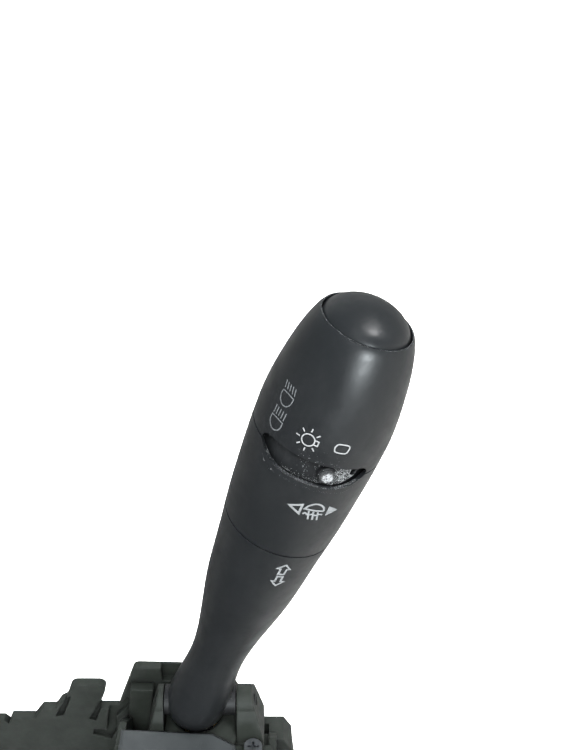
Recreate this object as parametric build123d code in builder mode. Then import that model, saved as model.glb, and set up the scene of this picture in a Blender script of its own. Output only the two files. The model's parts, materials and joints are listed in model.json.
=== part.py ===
from build123d import *
import math
import os

# Column stalk switch for a car's lights: a leaning stalk with two turning rings and a push button,
# held in a swivelling yoke inside a moulded housing that is bolted over the steering column tube.
# Millimetres and degrees. +X is the way the stalk leans, -Y faces the driver, +Z is up.
# The origin is on the feet of the mounting bracket, straight under the centre of the stalk's root.

os.makedirs("parts", exist_ok=True)

# --- motion centres -----------------------------------------------------------------------------
PIVOT_Z = 51.0  # flash axis (along X) through the root bulb
TURN_DROP = 9.5  # from it down to the turn axis (along Y) through the yoke's trunnions
LEAN = 18.6  # stalk's lean from +Z towards +X
TURN_ANGLE = 10.0  # each way about the turn axis
FLASH_ANGLE = 7.0  # pull towards the driver

# --- clearances ---------------------------------------------------------------------------------
RUNNING = 0.05  # radial gap of a shaft in its bearing
MOVING = 0.3  # gap between faces that pass each other
SEAM_GAP = 0.35  # visible gap between stem, fog ring and light knob

# --- stalk: radii, and stations (_W) measured along its axis from the pivot ---------------------
BULB_R = 8.2
NECK_R = 7.0
NECK_W = 19.0
WAIST_R = 10.7
WAIST_W = 46.0
SEAM_R = 13.3  # where stem and fog ring meet
SEAM_W = 71.0
RIM_R = 14.93  # where fog ring and light knob meet
RING_LENGTH = 26.3  # seam to rim
RING_SWELL = 0.2  # of the ring's side, outside a straight cone
KNOB_R = 15.0
KNOB_BELLY = 4.7  # rim to the knob's widest place
SHOULDER_R = 13.85
SHOULDER_DROP = 13.0  # tip down to the knob's shoulder
TIP_R = 10.5
KNOB_LENGTH = 29.7  # rim to tip
STEM_WALL = 1.6
RING_WALL = 1.7
KNOB_WALL = 1.8

# --- lever core, the moulded spine inside the stalk ---------------------------------------------
ROD_R = 3.0
ROD_DROP = 8.0  # knob's tip down to the core's end
HUB_R = 5.0
CROSS_R = 4.0  # cross tube on the flash axis
PIN_R = 1.6
TAIL_R = 2.6
TAIL_LIFT = 3.5  # tail's end above the detent plunger's tip
GROOVE_WIDTH = 2.4
GROOVE_DEPTH = 1.2
GROOVE_LOW_W = 15.0
LEAD_END = 1.0  # leads run this far past the light board's lower face

# --- push button at the tip ---------------------------------------------------------------------
BUTTON_LIP = 0.9  # knob's edge round the button
BUTTON_DROP = 0.6  # button's edge below the knob's tip
BUTTON_DOME = 5.2  # height of the dome above its edge
BUTTON_SKIRT = 3.6
BUTTON_WALL = 1.3
BUTTON_STEM_R = 1.5
BUTTON_TRAVEL = 2.2
SEAT_DEPTH = 7.0  # of the knob's recess for the button

# --- index collar and its window ----------------------------------------------------------------
BAND_INSET = 1.63  # band inside the seam of ring and knob
BAND_WALL = 1.3
BAND_DROP = 7.3  # band's foot below the rim
BAND_RISE = 3.7  # band's top above the rim
COLLAR_HUB_R = 5.5
COLLAR_DISC_LIFT = 2.0  # disc above the band's foot
COLLAR_DISC = 2.0
PEG_R = 2.1
PEG_DROP = 0.4  # below the rim
PEG_ANGLE = 6.8  # round from the driver's side
PEG_HEIGHT = 1.0  # above the band
DOT_R = 1.75
DOT_THICKNESS = 0.3
STOP_SLOT_ANGLE = 37.0  # slot for the light knob's stop, right of the peg
STOP_SLOT_RISE = 1.2
STOP_SLOT_LENGTH = 4.6
STOP_SLOT_WIDTH = 1.6
STOP_SLOT_LEAN = -24.0
WINDOW_ANGLE = -8.5  # middle of the window, round from the driver's side
WINDOW_HALF = 11.6
WINDOW_RISE = 2.5  # window's top above the rim
WINDOW_CORNER = 1.8
SCOOP_DROP = 3.5  # scoop's lowest place below the rim
SCOOP_SIDE = 2.9  # and its sides

# --- rotating rings -----------------------------------------------------------------------------
SPIGOT_STEP = 1.8  # stem's spigot inside the seam
SPIGOT_LENGTH = 4.0
RING_WEB_RISE = 8.0  # above the seam
RING_WEB = 2.0
RING_HUB_R = 5.0
HUB_GAP = 2.0  # ring's hub above the spigot
HUB_STAND = 3.5  # ring's hub above its web
KNOB_WEB_RISE = 11.7  # above the rim
KNOB_WEB = 2.0
KNOB_HUB_R = 5.2
KNOB_HUB_DROP = 3.0  # knob's hub below its web
BOARD_INSET = 0.9  # contact boards inside the spigot's radius
BOARD_THICKNESS = 1.2
FOG_BOARD_GAP = 2.1  # fog board above the ring's hub
LIGHT_BOARD_GAP = 2.8  # light board below the knob's hub
TRACK_SLOT = 4.2
TRACK_SLOT_WIDTH = 1.2
WIPER_SHEET = 0.3
WIPER_WIDTH = 2.4
WIPER_REACH_R = 8.0
DETENT_COUNT = 6
DETENT_NOTCH = 1.3
WINDOW_START_R = 5.0

# --- small metal pieces in the stalk ------------------------------------------------------------
CLIP_R = 2.4
CLIP_DROP = 2.4  # below the core's end
CLIP_GAP = 0.6  # above the knob's hub
CLIP_THICKNESS = 0.8
CLIP_OUTER_R = 4.6
CLIP_MOUTH = 3.6
LEAD_THICKNESS = 0.8
CONTACT_SHEET = 0.4
CONTACT_WIDTH = 2.0
HORN_CONTACT_R = 6.0
HORN_GAP = 0.4  # between finger and bridge, with the button home
BRIDGE_DROP = 2.4  # horn bridge below the button's edge
WIRE = 0.4
HORN_SPRING_R = 2.6
HORN_TURNS = 3
DETENT_TURNS = 3

# --- yoke ---------------------------------------------------------------------------------------
EAR_GAP_LEFT = 0.5  # inner faces of the ears, beside the bulb
EAR_GAP_RIGHT = 2.8
EAR_TIP_LEFT = 1.1  # thickness of the ears at their tops
EAR_TIP_RIGHT = 3.6
EAR_FOOT_LEFT = 4.5  # and at their feet
EAR_FOOT_RIGHT = 7.2
EAR_R = 4.0
EAR_FOOT_DROP = 8.0  # below the flash axis
YOKE_DROP = 5.5  # yoke's foot below the turn axis
YOKE_FRONT_Y = -10.5
YOKE_REAR_Y = 7.0
PLATE_REAR_Y = 4.0
EAR_FRONT_Y = -8.1
BAR_THICKNESS = 3.0
BAR_LAP = 1.2  # rear bar into the right ear
TRUNNION_R = 2.5
DRIVE_WIDTH = 5.0
DRIVE_LIFT = 11.0  # drive peg above the deck
DRIVE_PEG_R = 1.2
DRIVE_SLOT = 5.6

# --- housing: upright wall ----------------------------------------------------------------------
WALL_Y = 10.0  # front face of the upright wall
WALL = 2.5
DECK_Z = 13.0
CASE_LOW_Z = 2.0
TOWER_LEFT = -18.2
TOWER_RIGHT = 7.0
TOWER_RISE = 0.5  # tower's top left corner above the flash axis
TOWER_FALL = 1.0  # its right corner below the left one
TOWER_SIDE = 11.0  # height of its short right side
TOWER_SLOPE = 4.0
TOWER_FOOT = 6.0  # run of its sloping left side
LATCH_GAP = 5.0  # between the latch's neck and the tower
LATCH_WIDTH = 10.1
LATCH_HEIGHT = 10.5  # above the bridge
LATCH_NECK = ((-1.7, -5.1), (-2.8, -7.9))  # right side, from the latch's top right corner
LATCH_STEPS = ((-5.8, -10.5), (-4.1, -7.4), (-2.1, -6.0))  # left side, from its top left corner
BRIDGE_REACH = 9.7  # bridge's left end, from the latch
BRIDGE_RISE = 4.3  # above the low wall
BRIDGE_RUN = 2.8
STEP_Z = 29.2  # top of the low wall
NICK_GAP = 8.0  # nick, from the bridge
NICK_DEPTH = 2.8
NICK_WIDTH = 1.2
END_DROP = 1.1  # wall's end below the low wall's top
WALL_END = 9.0  # wall's left end, from the nick
CASE_RIGHT = 26.8
BLOCK_X = 17.9
BLOCK_Z = 26.6
BLOCK_CORNER = (3.2, 4.4)
BLOCK_Y = 4.5
SMALL_R = 0.9
CORNER_R = 1.9
RELIEF = 1.3  # depth of the reliefs in the wall's face
# reliefs beside the latch's arm, from the latch's top left corner
LATCH_RELIEFS = (
    ((-2.4, -5.9), (-0.8, -5.0), (-3.9, -13.6), (-6.5, -14.2)),
    ((6.9, -8.0), (8.6, -6.6), (5.2, -16.2), (3.4, -15.3)),
)
# hollow between the wall's gusset and the box, from the tower's left foot
HOLLOW = ((3.2, 5.6), (4.2, 2.9), (2.4, 0.2), (-0.8, -3.4), (-1.0, -9.4), (-3.2, -14.2),
          (-8.6, -12.0), (-8.0, -9.6), (-4.2, -9.8), (-3.4, -4.0), (-2.4, 1.4), (1.6, 3.4))
POCKET_LEFT = -10.7
POCKET_DEPTH = 2.0
POCKET_HEIGHT = 5.6
FLASH_WINDOW = 6.5
FLASH_WINDOW_HEIGHT = 6.0

# --- housing: box round the yoke ----------------------------------------------------------------
BOX_LEFT = -22.0
BOX_RIGHT = 21.6
BOX_FRONT_Y = -20.0
BOX_WALL = 2.2
BOX_DROP = 4.1  # box's top below the flash axis
SIDE_DROP = 5.9  # left side's rim below the box's top
RIGHT_DROP = 7.0  # right side's rim below the left one
LEFT_FALL = 11.0  # of the left rim towards the wall
RIGHT_FALL = 4.0  # of the right rim towards the end block
RIM_RISE_Y = 2.0
COVER_TOP = 1.9
COVER_LEFT = -19.8
COVER_LEFT_Y = -7.4  # rear edge at its left end
COVER_REAR_Y = -8.7  # and at its right end
COVER_CORNER_X = 4.8
COVER_SIDE_X = 11.0
COVER_CHAMFER = 3.6
COVER_EDGE = 0.9
COVER_SKIRT = 22.9
RIB_Y = -11.5  # rear face of the rib that carries the front trunnion
RIB = 3.0
SHELF = 1.5
SHELF_LAP = 1.0
FLANGE = 2.8
FLANGE_TOP = 4.2  # above the left side's rim
# gusset against the tower, from the box's left side at the left side's rim
FLANGE_LEFT = ((2.6, 0), (0.6, -12.0), (-0.5, -20.0))
FLANGE_RIGHT = ((9.0, 0), (6.8, -12.0), (4.2, -20.0))
PIN_LEFT = 10.6
PIN_RIGHT = 16.0
SCREW_R = 1.25
SCREW_HEAD_R = 2.4
SCREW_HEAD = 2.0
SCREW_LENGTH = 11.0
BOSS_R = 2.7
RIGHT_BOSS_RISE = 0.6
RIGHT_SCREW = (15.6, -13.6)
LEFT_SCREW = (-16.0, -18.4)

# --- sliders, cam and pawl ----------------------------------------------------------------------
SLIDER_HALF = 9.0
TURN_SLIDER_THICKNESS = 2.4
TURN_SLIDER_REAR_Y = -11.4
TURN_SLIDER_HEIGHT = 10.0
FLASH_SLIDER_LIFT = 13.0  # above the deck
FLASH_SLIDER_THICKNESS = 2.0
FLASH_SLIDER_FRONT_Y = -4.6
FLASH_SLIDER_REAR_Y = 4.8
PLUNGER_R = 1.4
PLUNGER_LENGTH = 8.5
PLUNGER_LIFT = 5.5  # plunger's tip above the deck
PLUNGER_BORE = 15.5  # bore's top above the plunger's tip
CAM_HALF = 10.5
CAM_FRONT_Y = -4.5
CAM_REAR_Y = 8.0
CAM_DEPTH = 1.9  # cam's top above the plunger's tip
CAM_NOTCH_R = 1.7
PAWL_PIVOT_LIFT = 2.0  # above the deck
PAWL_TIP_Z = 6.0
PAWL_FRONT_Y = -10.0
PAWL_THICKNESS = 4.4
PAWL_HALF = 3.4
PAWL_POINT = 1.1
PAWL_HEAD = 2.3
PAWL_PIN_R = 1.2
PAWL_SLOT = 5.6
POST = 2.0  # posts that carry the pawl's spring
POST_GAP = 0.4
FINGER_X = 4.0
FINGER_WIDTH = 1.6
WIPER_GAP = 0.2  # wiper fingers to their tracks
CONTACT_HALF = 14.0
TRACK_COUNT = 3
TRACK_GAP = 1.0

# --- circuit board, connector, bracket ----------------------------------------------------------
PCB_THICKNESS = 1.6
PCB_GAP = 0.7
PCB_MARGIN = 6.0  # board beyond the socket
PCB_RIGHT = 14.0
REAR_SKIN = 1.4
PCB_LOW_Z = 4.4
PCB_HIGH_Z = 18.2
REAR_DEPTH = 5.6
REAR_TOP_Z = 20.2
TONGUE_TOP_Z = 34.0
SOCKET_RIGHT = -27.0
SOCKET_LOW_Z = 3.4
SOCKET_HIGH_Z = 16.0
SOCKET_DEPTH = 8.0
SOCKET_WALL = 1.4
STANDOFF_INSET = 4.5
STANDOFF_Z = 11.0
BLADE_COUNT = 7
BLADE_PITCH = 2.5
BLADE_MARGIN = 0.35
BLADE_LIFT = 3.6  # blades above the socket's foot
BLADE_WIDTH = 1.5
BLADE_THICKNESS = 0.6
BLADE_LENGTH = 9.0
COLUMN_R = 36.0  # clearance arch over the column tube
ARCH_RISE = 9.0
BRACKET_THICKNESS = 2.0
BRACKET_FRONT_Y = -19.0
BRACKET_REAR_Y = 11.0
FOOT_END = 45.0
FOOT_CORNER_R = 4.0
BOLT_X = 38.5
BOLT_Y = 0.0
BOLT_R = 2.65
FLANGE_END = 32.0
RIVET_R = 1.5
RIVET_HEAD_R = 2.5
RIVET_INSET = 2.2

# --- worked-out places --------------------------------------------------------------------------
TURN_Z = PIVOT_Z - TURN_DROP
SIN_LEAN = math.sin(math.radians(LEAN))
COS_LEAN = math.cos(math.radians(LEAN))
PIVOT = Vector(0, 0, PIVOT_Z)
ALONG = Vector(SIN_LEAN, 0, COS_LEAN)
ACROSS = Vector(COS_LEAN, 0, -SIN_LEAN)
STALK = Axis(PIVOT, ALONG)
# x is the distance from the stalk's axis, y the station along it
MERIDIAN = Plane(origin=PIVOT, x_dir=ACROSS, z_dir=(0, -1, 0))

RIM_W = SEAM_W + RING_LENGTH
TIP_W = RIM_W + KNOB_LENGTH
RING_LOW_W = SEAM_W + SEAM_GAP
KNOB_LOW_W = RIM_W + SEAM_GAP
SHOULDER_W = TIP_W - SHOULDER_DROP
ROD_END_W = TIP_W - ROD_DROP
CLIP_W = ROD_END_W - CLIP_DROP
BUTTON_R = TIP_R - BUTTON_LIP
BUTTON_EDGE_W = TIP_W - BUTTON_DROP
BUTTON_APEX_W = BUTTON_EDGE_W + BUTTON_DOME
BRIDGE_W = BUTTON_EDGE_W - BRIDGE_DROP
HORN_FINGER = BRIDGE_W - BUTTON_TRAVEL - HORN_GAP - ROD_END_W
HORN_SPRING_LOW_W = ROD_END_W + CONTACT_SHEET + RUNNING
HORN_SPRING_HIGH_W = BUTTON_EDGE_W + BUTTON_WALL / 2
SPIGOT_R = SEAM_R - SPIGOT_STEP
RING_WEB_W = SEAM_W + RING_WEB_RISE
RING_HUB_LOW_W = SEAM_W + SPIGOT_LENGTH + HUB_GAP
RING_HUB_HIGH_W = RING_WEB_W + RING_WEB + HUB_STAND
KNOB_WEB_W = RIM_W + KNOB_WEB_RISE
KNOB_HUB_LOW_W = KNOB_WEB_W - KNOB_HUB_DROP
KNOB_HUB_HIGH_W = CLIP_W - CLIP_GAP
BOARD_R = SPIGOT_R - BOARD_INSET
FOG_BOARD_W = RING_HUB_HIGH_W + FOG_BOARD_GAP
LIGHT_BOARD_W = KNOB_HUB_LOW_W - LIGHT_BOARD_GAP - BOARD_THICKNESS
GROOVE_HIGH_W = LIGHT_BOARD_W + LEAD_END
BAND_LOW_W = RIM_W - BAND_DROP
BAND_HIGH_W = RIM_W + BAND_RISE
COLLAR_DISC_W = BAND_LOW_W + COLLAR_DISC_LIFT
PEG_W = RIM_W - PEG_DROP
BAND_R = RIM_R - BAND_INSET
PEG_TOP_R = BAND_R + PEG_HEIGHT
RING_BORE_R = BAND_R + 1.5 * MOVING
KNOB_BORE_R = SHOULDER_R - KNOB_WALL
SCOOP_LOW_W = RIM_W - SCOOP_DROP
SCOOP_SIDE_W = RIM_W - SCOOP_SIDE

# faces of the yoke's ears: inside, at the tops and at the feet
EAR_LEFT = BULB_R + EAR_GAP_LEFT
EAR_RIGHT = BULB_R + EAR_GAP_RIGHT
EAR_FOOT_Z = PIVOT_Z - EAR_FOOT_DROP
YOKE_LOW_Z = TURN_Z - YOKE_DROP
DRIVE_Z = DECK_Z + DRIVE_LIFT
SLIDER_LOW_Z = DRIVE_Z - TURN_SLIDER_HEIGHT / 2
SHELF_Z = DRIVE_Z + TURN_SLIDER_HEIGHT / 2 + MOVING
FLASH_SLIDER_Z = DECK_Z + FLASH_SLIDER_LIFT
PLUNGER_TIP_Z = DECK_Z + PLUNGER_LIFT
PLUNGER_BORE_TOP_Z = PLUNGER_TIP_Z + PLUNGER_BORE
TAIL_END_Z = PLUNGER_TIP_Z + TAIL_LIFT
CAM_TOP_Z = PLUNGER_TIP_Z + CAM_DEPTH
PAWL_PIVOT_Z = DECK_Z + PAWL_PIVOT_LIFT
PAWL_TOP_Z = PAWL_PIVOT_Z + PAWL_HEAD

WALL_BACK_Y = WALL_Y + WALL
TOWER_Z = PIVOT_Z + TOWER_RISE
# the wall's outline to the left of the tower
FOOT_X = TOWER_LEFT - TOWER_FOOT
LATCH_RIGHT = FOOT_X - LATCH_GAP - LATCH_NECK[-1][0]
LATCH_X = LATCH_RIGHT - LATCH_WIDTH
BRIDGE_X = LATCH_X - BRIDGE_REACH
NICK_X = BRIDGE_X - BRIDGE_RUN - NICK_GAP
CASE_LEFT = NICK_X - WALL_END
BRIDGE_Z = STEP_Z + BRIDGE_RISE
LATCH_Z = BRIDGE_Z + LATCH_HEIGHT
BOX_TOP_Z = PIVOT_Z - BOX_DROP
SIDE_Z = BOX_TOP_Z - SIDE_DROP
RIGHT_SIDE_Z = SIDE_Z - RIGHT_DROP
COVER_Z = BOX_TOP_Z + COVER_TOP
ARCH_Z = ARCH_RISE - COLUMN_R
ARCH_R = COLUMN_R + BRACKET_THICKNESS + MOVING
FOOT_TOP_Z = BRACKET_THICKNESS + WALL
# the deck reaches past the arch where the arch meets the feet
DECK_HALF = math.sqrt(ARCH_R**2 - (FOOT_TOP_Z - ARCH_Z) ** 2) + WALL
SOCKET_WIDTH = (BLADE_COUNT - 1) * BLADE_PITCH + BLADE_WIDTH + 2 * (SOCKET_WALL + BLADE_MARGIN)
SOCKET_LEFT = SOCKET_RIGHT - SOCKET_WIDTH
PCB_LEFT = SOCKET_LEFT - PCB_MARGIN
PCB_Y = WALL_BACK_Y + PCB_GAP
REAR_Y = WALL_BACK_Y + REAR_DEPTH
BLADE_Z = SOCKET_LOW_Z + BLADE_LIFT
STANDOFFS = (PCB_LEFT + STANDOFF_INSET, PCB_RIGHT - STANDOFF_INSET)
# x, y, top of the boss and seat of each cover screw: one on the box, one through the cover
SCREW_PLACES = (
    (*RIGHT_SCREW, BOX_TOP_Z + RIGHT_BOSS_RISE, BOX_TOP_Z + RIGHT_BOSS_RISE),
    (*LEFT_SCREW, BOX_TOP_Z, COVER_Z),
)
RIVET_Y = (BRACKET_FRONT_Y + BRACKET_REAR_Y) / 2
RIVET_PLACES = [(x, RIVET_Y) for x in (RIVET_INSET - FLANGE_END, FLANGE_END - RIVET_INSET)]


def station(w):
    """The plane across the stalk at w. Its -Y side faces the driver."""
    return Plane(origin=PIVOT + ALONG * w, x_dir=ACROSS, z_dir=ALONG)


def facing(angle, w, out):
    """A plane square to the radius at an angle round from the driver's side; y runs along the stalk."""
    turn = math.radians(angle)
    normal = ACROSS * math.sin(turn) + Vector(0, -math.cos(turn), 0)
    tangent = ACROSS * math.cos(turn) + Vector(0, math.sin(turn), 0)
    return Plane(origin=PIVOT + ALONG * w + normal * out, x_dir=tangent, z_dir=normal)


def block(x, y, z, mode=Mode.ADD):
    """A box between pairs of coordinates."""
    with Locations((sum(x) / 2, sum(y) / 2, sum(z) / 2)):
        Box(x[1] - x[0], y[1] - y[0], z[1] - z[0], mode=mode)


def band(inner, outer, low, high, mode=Mode.ADD):
    """A turned band about the stalk's axis, between two radii and two stations."""
    with BuildSketch(MERIDIAN) as section:
        with Locations(((inner + outer) / 2, (low + high) / 2)):
            Rectangle(outer - inner, high - low)
    revolve(section.sketch, axis=STALK, mode=mode)


def rod(radius, plane, length, mode=Mode.ADD):
    """A round bar that starts on a plane and runs along its normal."""
    with Locations(plane):
        Cylinder(radius, length, align=(Align.CENTER, Align.CENTER, Align.MIN), mode=mode)


def across_y(x, y, z):
    """A plane at a point, looking along +Y."""
    return Plane(origin=(x, y, z), x_dir=(1, 0, 0), z_dir=(0, 1, 0))


def across_x(x, y, z):
    """A plane at a point, looking along +X."""
    return Plane(origin=(x, y, z), x_dir=(0, 1, 0), z_dir=(1, 0, 0))


def level(x, y, z):
    """A plane at a point, looking along +Z."""
    return Plane(origin=(x, y, z))


def plate(outline, front, rear, mode=Mode.ADD):
    """A flat plate with an outline of (x, z) points, between two places along Y."""
    with BuildSketch(Plane.XZ.offset(-rear)) as section:
        Polygon(*outline, align=None)
    extrude(section.sketch, amount=rear - front, mode=mode)


# ================================ stalk: the lever body ========================================
def make_stem_shell():
    with BuildPart() as stem_shell:
        with BuildSketch(MERIDIAN):
            with BuildLine():
                bulb = CenterArc((0, 0), BULB_R, -90, 90)
                flare = Spline(
                    bulb @ 1,
                    (NECK_R, NECK_W),
                    (WAIST_R, WAIST_W),
                    (SEAM_R, SEAM_W),
                    tangents=[(0, 1), (0.12, 1)],
                )
                Polyline(
                    flare @ 1,
                    (SPIGOT_R, SEAM_W),
                    (SPIGOT_R, SEAM_W + SPIGOT_LENGTH),
                    (0, SEAM_W + SPIGOT_LENGTH),
                    bulb @ 0,
                )
            make_face()
        revolve(axis=STALK)
        with BuildSketch(MERIDIAN) as cavity:
            Polygon(
                (0, NECK_W + STEM_WALL),
                (NECK_R - STEM_WALL, NECK_W + STEM_WALL),
                (WAIST_R - STEM_WALL, WAIST_W),
                (SPIGOT_R - STEM_WALL, SEAM_W),
                (SPIGOT_R - STEM_WALL, SEAM_W + SPIGOT_LENGTH),
                (0, SEAM_W + SPIGOT_LENGTH),
                align=None,
            )
        revolve(cavity.sketch, axis=STALK, mode=Mode.SUBTRACT)
        # a spider of three ribs centres the core in the mouth of the stem
        for turn in (30, 150, 270):
            rib = facing(turn, SEAM_W - SPIGOT_LENGTH, ROD_R)
            with Locations(rib):
                Box(
                    STEM_WALL,
                    SPIGOT_LENGTH * 1.5,
                    SPIGOT_R - STEM_WALL / 2 - ROD_R,
                    align=(Align.CENTER, Align.CENTER, Align.MIN),
                )
        rod(ROD_R, station(0), SEAM_W, mode=Mode.SUBTRACT)
        rod(HUB_R, across_x(-HUB_R, 0, PIVOT_Z), HUB_R * 2, mode=Mode.SUBTRACT)
        rod(CROSS_R, across_x(-BULB_R * 2, 0, PIVOT_Z), BULB_R * 4, mode=Mode.SUBTRACT)
        with Locations(level(0, 0, PIVOT_Z - BULB_R * 2)):
            Cylinder(
                TAIL_R + MOVING,
                BULB_R * 2,
                align=(Align.CENTER, Align.CENTER, Align.MIN),
                mode=Mode.SUBTRACT,
            )
    return stem_shell


def make_lever_core():
    with BuildPart() as lever_core:
        rod(ROD_R, station(0), ROD_END_W)
        rod(HUB_R, across_x(-HUB_R, 0, PIVOT_Z), HUB_R * 2)
        rod(CROSS_R, across_x(MOVING - EAR_LEFT, 0, PIVOT_Z), EAR_LEFT + EAR_RIGHT - 2 * MOVING)
        with Locations(level(0, 0, TAIL_END_Z)):
            Cylinder(
                TAIL_R, PIVOT_Z - TAIL_END_Z, align=(Align.CENTER, Align.CENTER, Align.MIN)
            )
        # bores: flash pin, detent plunger in the tail, button stem in the tip
        rod(
            PIN_R + RUNNING,
            across_x(-EAR_LEFT, 0, PIVOT_Z),
            EAR_LEFT + EAR_RIGHT,
            mode=Mode.SUBTRACT,
        )
        with Locations(level(0, 0, TAIL_END_Z)):
            Cylinder(
                PLUNGER_R + RUNNING,
                PLUNGER_BORE_TOP_Z - TAIL_END_Z,
                align=(Align.CENTER, Align.CENTER, Align.MIN),
                mode=Mode.SUBTRACT,
            )
        stem_bore = ROD_END_W - 2 * BUTTON_TRAVEL - BUTTON_SKIRT
        rod(
            BUTTON_STEM_R + RUNNING,
            station(stem_bore),
            ROD_END_W - stem_bore,
            mode=Mode.SUBTRACT,
        )
        # a groove along each side for the leads, and one round the tip for the clip
        for side in (-1, 1):
            with Locations(station(GROOVE_LOW_W)):
                with Locations((side * (ROD_R - GROOVE_DEPTH / 2), 0, 0)):
                    Box(
                        GROOVE_DEPTH,
                        GROOVE_WIDTH,
                        GROOVE_HIGH_W - GROOVE_LOW_W,
                        align=(Align.CENTER, Align.CENTER, Align.MIN),
                        mode=Mode.SUBTRACT,
                    )
        band(CLIP_R, ROD_R, CLIP_W, CLIP_W + CLIP_THICKNESS, mode=Mode.SUBTRACT)
    return lever_core


def make_index_collar():
    with BuildPart() as index_collar:
        band(ROD_R, COLLAR_HUB_R, FOG_BOARD_W + BOARD_THICKNESS, LIGHT_BOARD_W)
        band(ROD_R, BAND_R - BAND_WALL / 2, COLLAR_DISC_W, COLLAR_DISC_W + COLLAR_DISC)
        band(BAND_R - BAND_WALL, BAND_R, BAND_LOW_W, BAND_HIGH_W)
        rod(
            PEG_R,
            facing(PEG_ANGLE, PEG_W, BAND_R - BAND_WALL / 2),
            PEG_TOP_R - BAND_R + BAND_WALL / 2,
        )
        # detent notches in the collar's top edge for the light knob
        for step in range(DETENT_COUNT):
            with Locations(facing(360 / DETENT_COUNT * step, BAND_HIGH_W, BAND_R)):
                Box(
                    DETENT_NOTCH,
                    DETENT_NOTCH,
                    BAND_WALL * 3,
                    rotation=(0, 0, 45),
                    mode=Mode.SUBTRACT,
                )
        # slot for the knob's stop
        with BuildSketch(facing(STOP_SLOT_ANGLE, RIM_W + STOP_SLOT_RISE, WINDOW_START_R)) as slot:
            SlotOverall(STOP_SLOT_LENGTH, STOP_SLOT_WIDTH, rotation=90 + STOP_SLOT_LEAN)
        extrude(slot.sketch, amount=BAND_R, mode=Mode.SUBTRACT)
    return index_collar


def make_index_dot():
    with BuildPart() as index_dot:
        rod(DOT_R, facing(PEG_ANGLE, PEG_W, PEG_TOP_R), DOT_THICKNESS)
    return index_dot


def make_contact_disc(low):
    """A round contact board on the core, with three slots that part its tracks."""
    with BuildPart() as disc:
        band(ROD_R, BOARD_R, low, low + BOARD_THICKNESS)
        with BuildSketch(station(low)) as tracks:
            with PolarLocations((BOARD_R + COLLAR_HUB_R) / 2, 3):
                Rectangle(TRACK_SLOT_WIDTH, TRACK_SLOT)
        extrude(tracks.sketch, amount=BOARD_THICKNESS, mode=Mode.SUBTRACT)
    return disc


def make_lead_strips():
    with BuildPart() as lead_strips:
        for side in (-1, 1):
            with Locations(station(GROOVE_LOW_W)):
                with Locations((side * (ROD_R - GROOVE_DEPTH + LEAD_THICKNESS / 2), 0, 0)):
                    Box(
                        LEAD_THICKNESS,
                        GROOVE_WIDTH - MOVING,
                        GROOVE_HIGH_W - GROOVE_LOW_W,
                        align=(Align.CENTER, Align.CENTER, Align.MIN),
                    )
    return lead_strips


def make_knob_retainer():
    """An open ring that snaps into the core's groove and keeps the light knob on."""
    with BuildPart() as knob_retainer:
        with BuildSketch(station(CLIP_W)):
            Circle(CLIP_OUTER_R)
            Circle(CLIP_R, mode=Mode.SUBTRACT)
            with Locations((CLIP_OUTER_R / 2, 0)):
                Rectangle(CLIP_OUTER_R, CLIP_MOUTH, mode=Mode.SUBTRACT)
        extrude(amount=CLIP_THICKNESS)
    return knob_retainer


def make_horn_contact():
    """A brass washer on the core's tip with two fingers that the button's bridge lands on."""
    with BuildPart() as horn_contact:
        band(BUTTON_STEM_R + MOVING, HORN_CONTACT_R, ROD_END_W, ROD_END_W + CONTACT_SHEET)
        for side in (-1, 1):
            with Locations(station(ROD_END_W)):
                with Locations((0, side * (HORN_CONTACT_R - CONTACT_SHEET), 0)):
                    Box(
                        CONTACT_WIDTH,
                        CONTACT_SHEET,
                        HORN_FINGER,
                        align=(Align.CENTER, Align.CENTER, Align.MIN),
                    )
    return horn_contact


# ================================ rotating controls ============================================
def make_fog_ring():
    with BuildPart() as fog_ring:
        with BuildSketch(MERIDIAN):
            with BuildLine():
                side = Spline(
                    (SEAM_R, RING_LOW_W),
                    ((SEAM_R + RIM_R) / 2 + RING_SWELL, (SEAM_W + RIM_W) / 2),
                    (RIM_R, RIM_W),
                    tangents=[(0.12, 1), (0.02, 1)],
                )
                Polyline(
                    side @ 1,
                    (RING_BORE_R, RIM_W),
                    (RING_BORE_R, BAND_LOW_W - MOVING),
                    (SPIGOT_R + RUNNING, BAND_LOW_W - MOVING - BAND_WALL),
                    (SPIGOT_R + RUNNING, RING_LOW_W),
                    side @ 0,
                )
            make_face()
        revolve(axis=STALK)
        # web and hub that turn on the core
        band(ROD_R + RUNNING, SPIGOT_R + RING_WALL / 2, RING_WEB_W, RING_WEB_W + RING_WEB)
        band(ROD_R + RUNNING, RING_HUB_R, RING_HUB_LOW_W, RING_HUB_HIGH_W)
        # finger-side scoop that shows the index peg
        with BuildSketch(facing(WINDOW_ANGLE, 0, WINDOW_START_R)) as scoop:
            with BuildLine():
                low = Spline(
                    (-WINDOW_HALF, RIM_W),
                    (-WINDOW_HALF * 0.66, SCOOP_SIDE_W),
                    (0, SCOOP_LOW_W),
                    (WINDOW_HALF * 0.72, SCOOP_SIDE_W),
                    (WINDOW_HALF, RIM_W),
                )
                Polyline(low @ 1, (WINDOW_HALF, RIM_W + 1), (-WINDOW_HALF, RIM_W + 1), low @ 0)
            make_face()
        extrude(scoop.sketch, amount=KNOB_R, mode=Mode.SUBTRACT)
    return fog_ring


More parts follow.
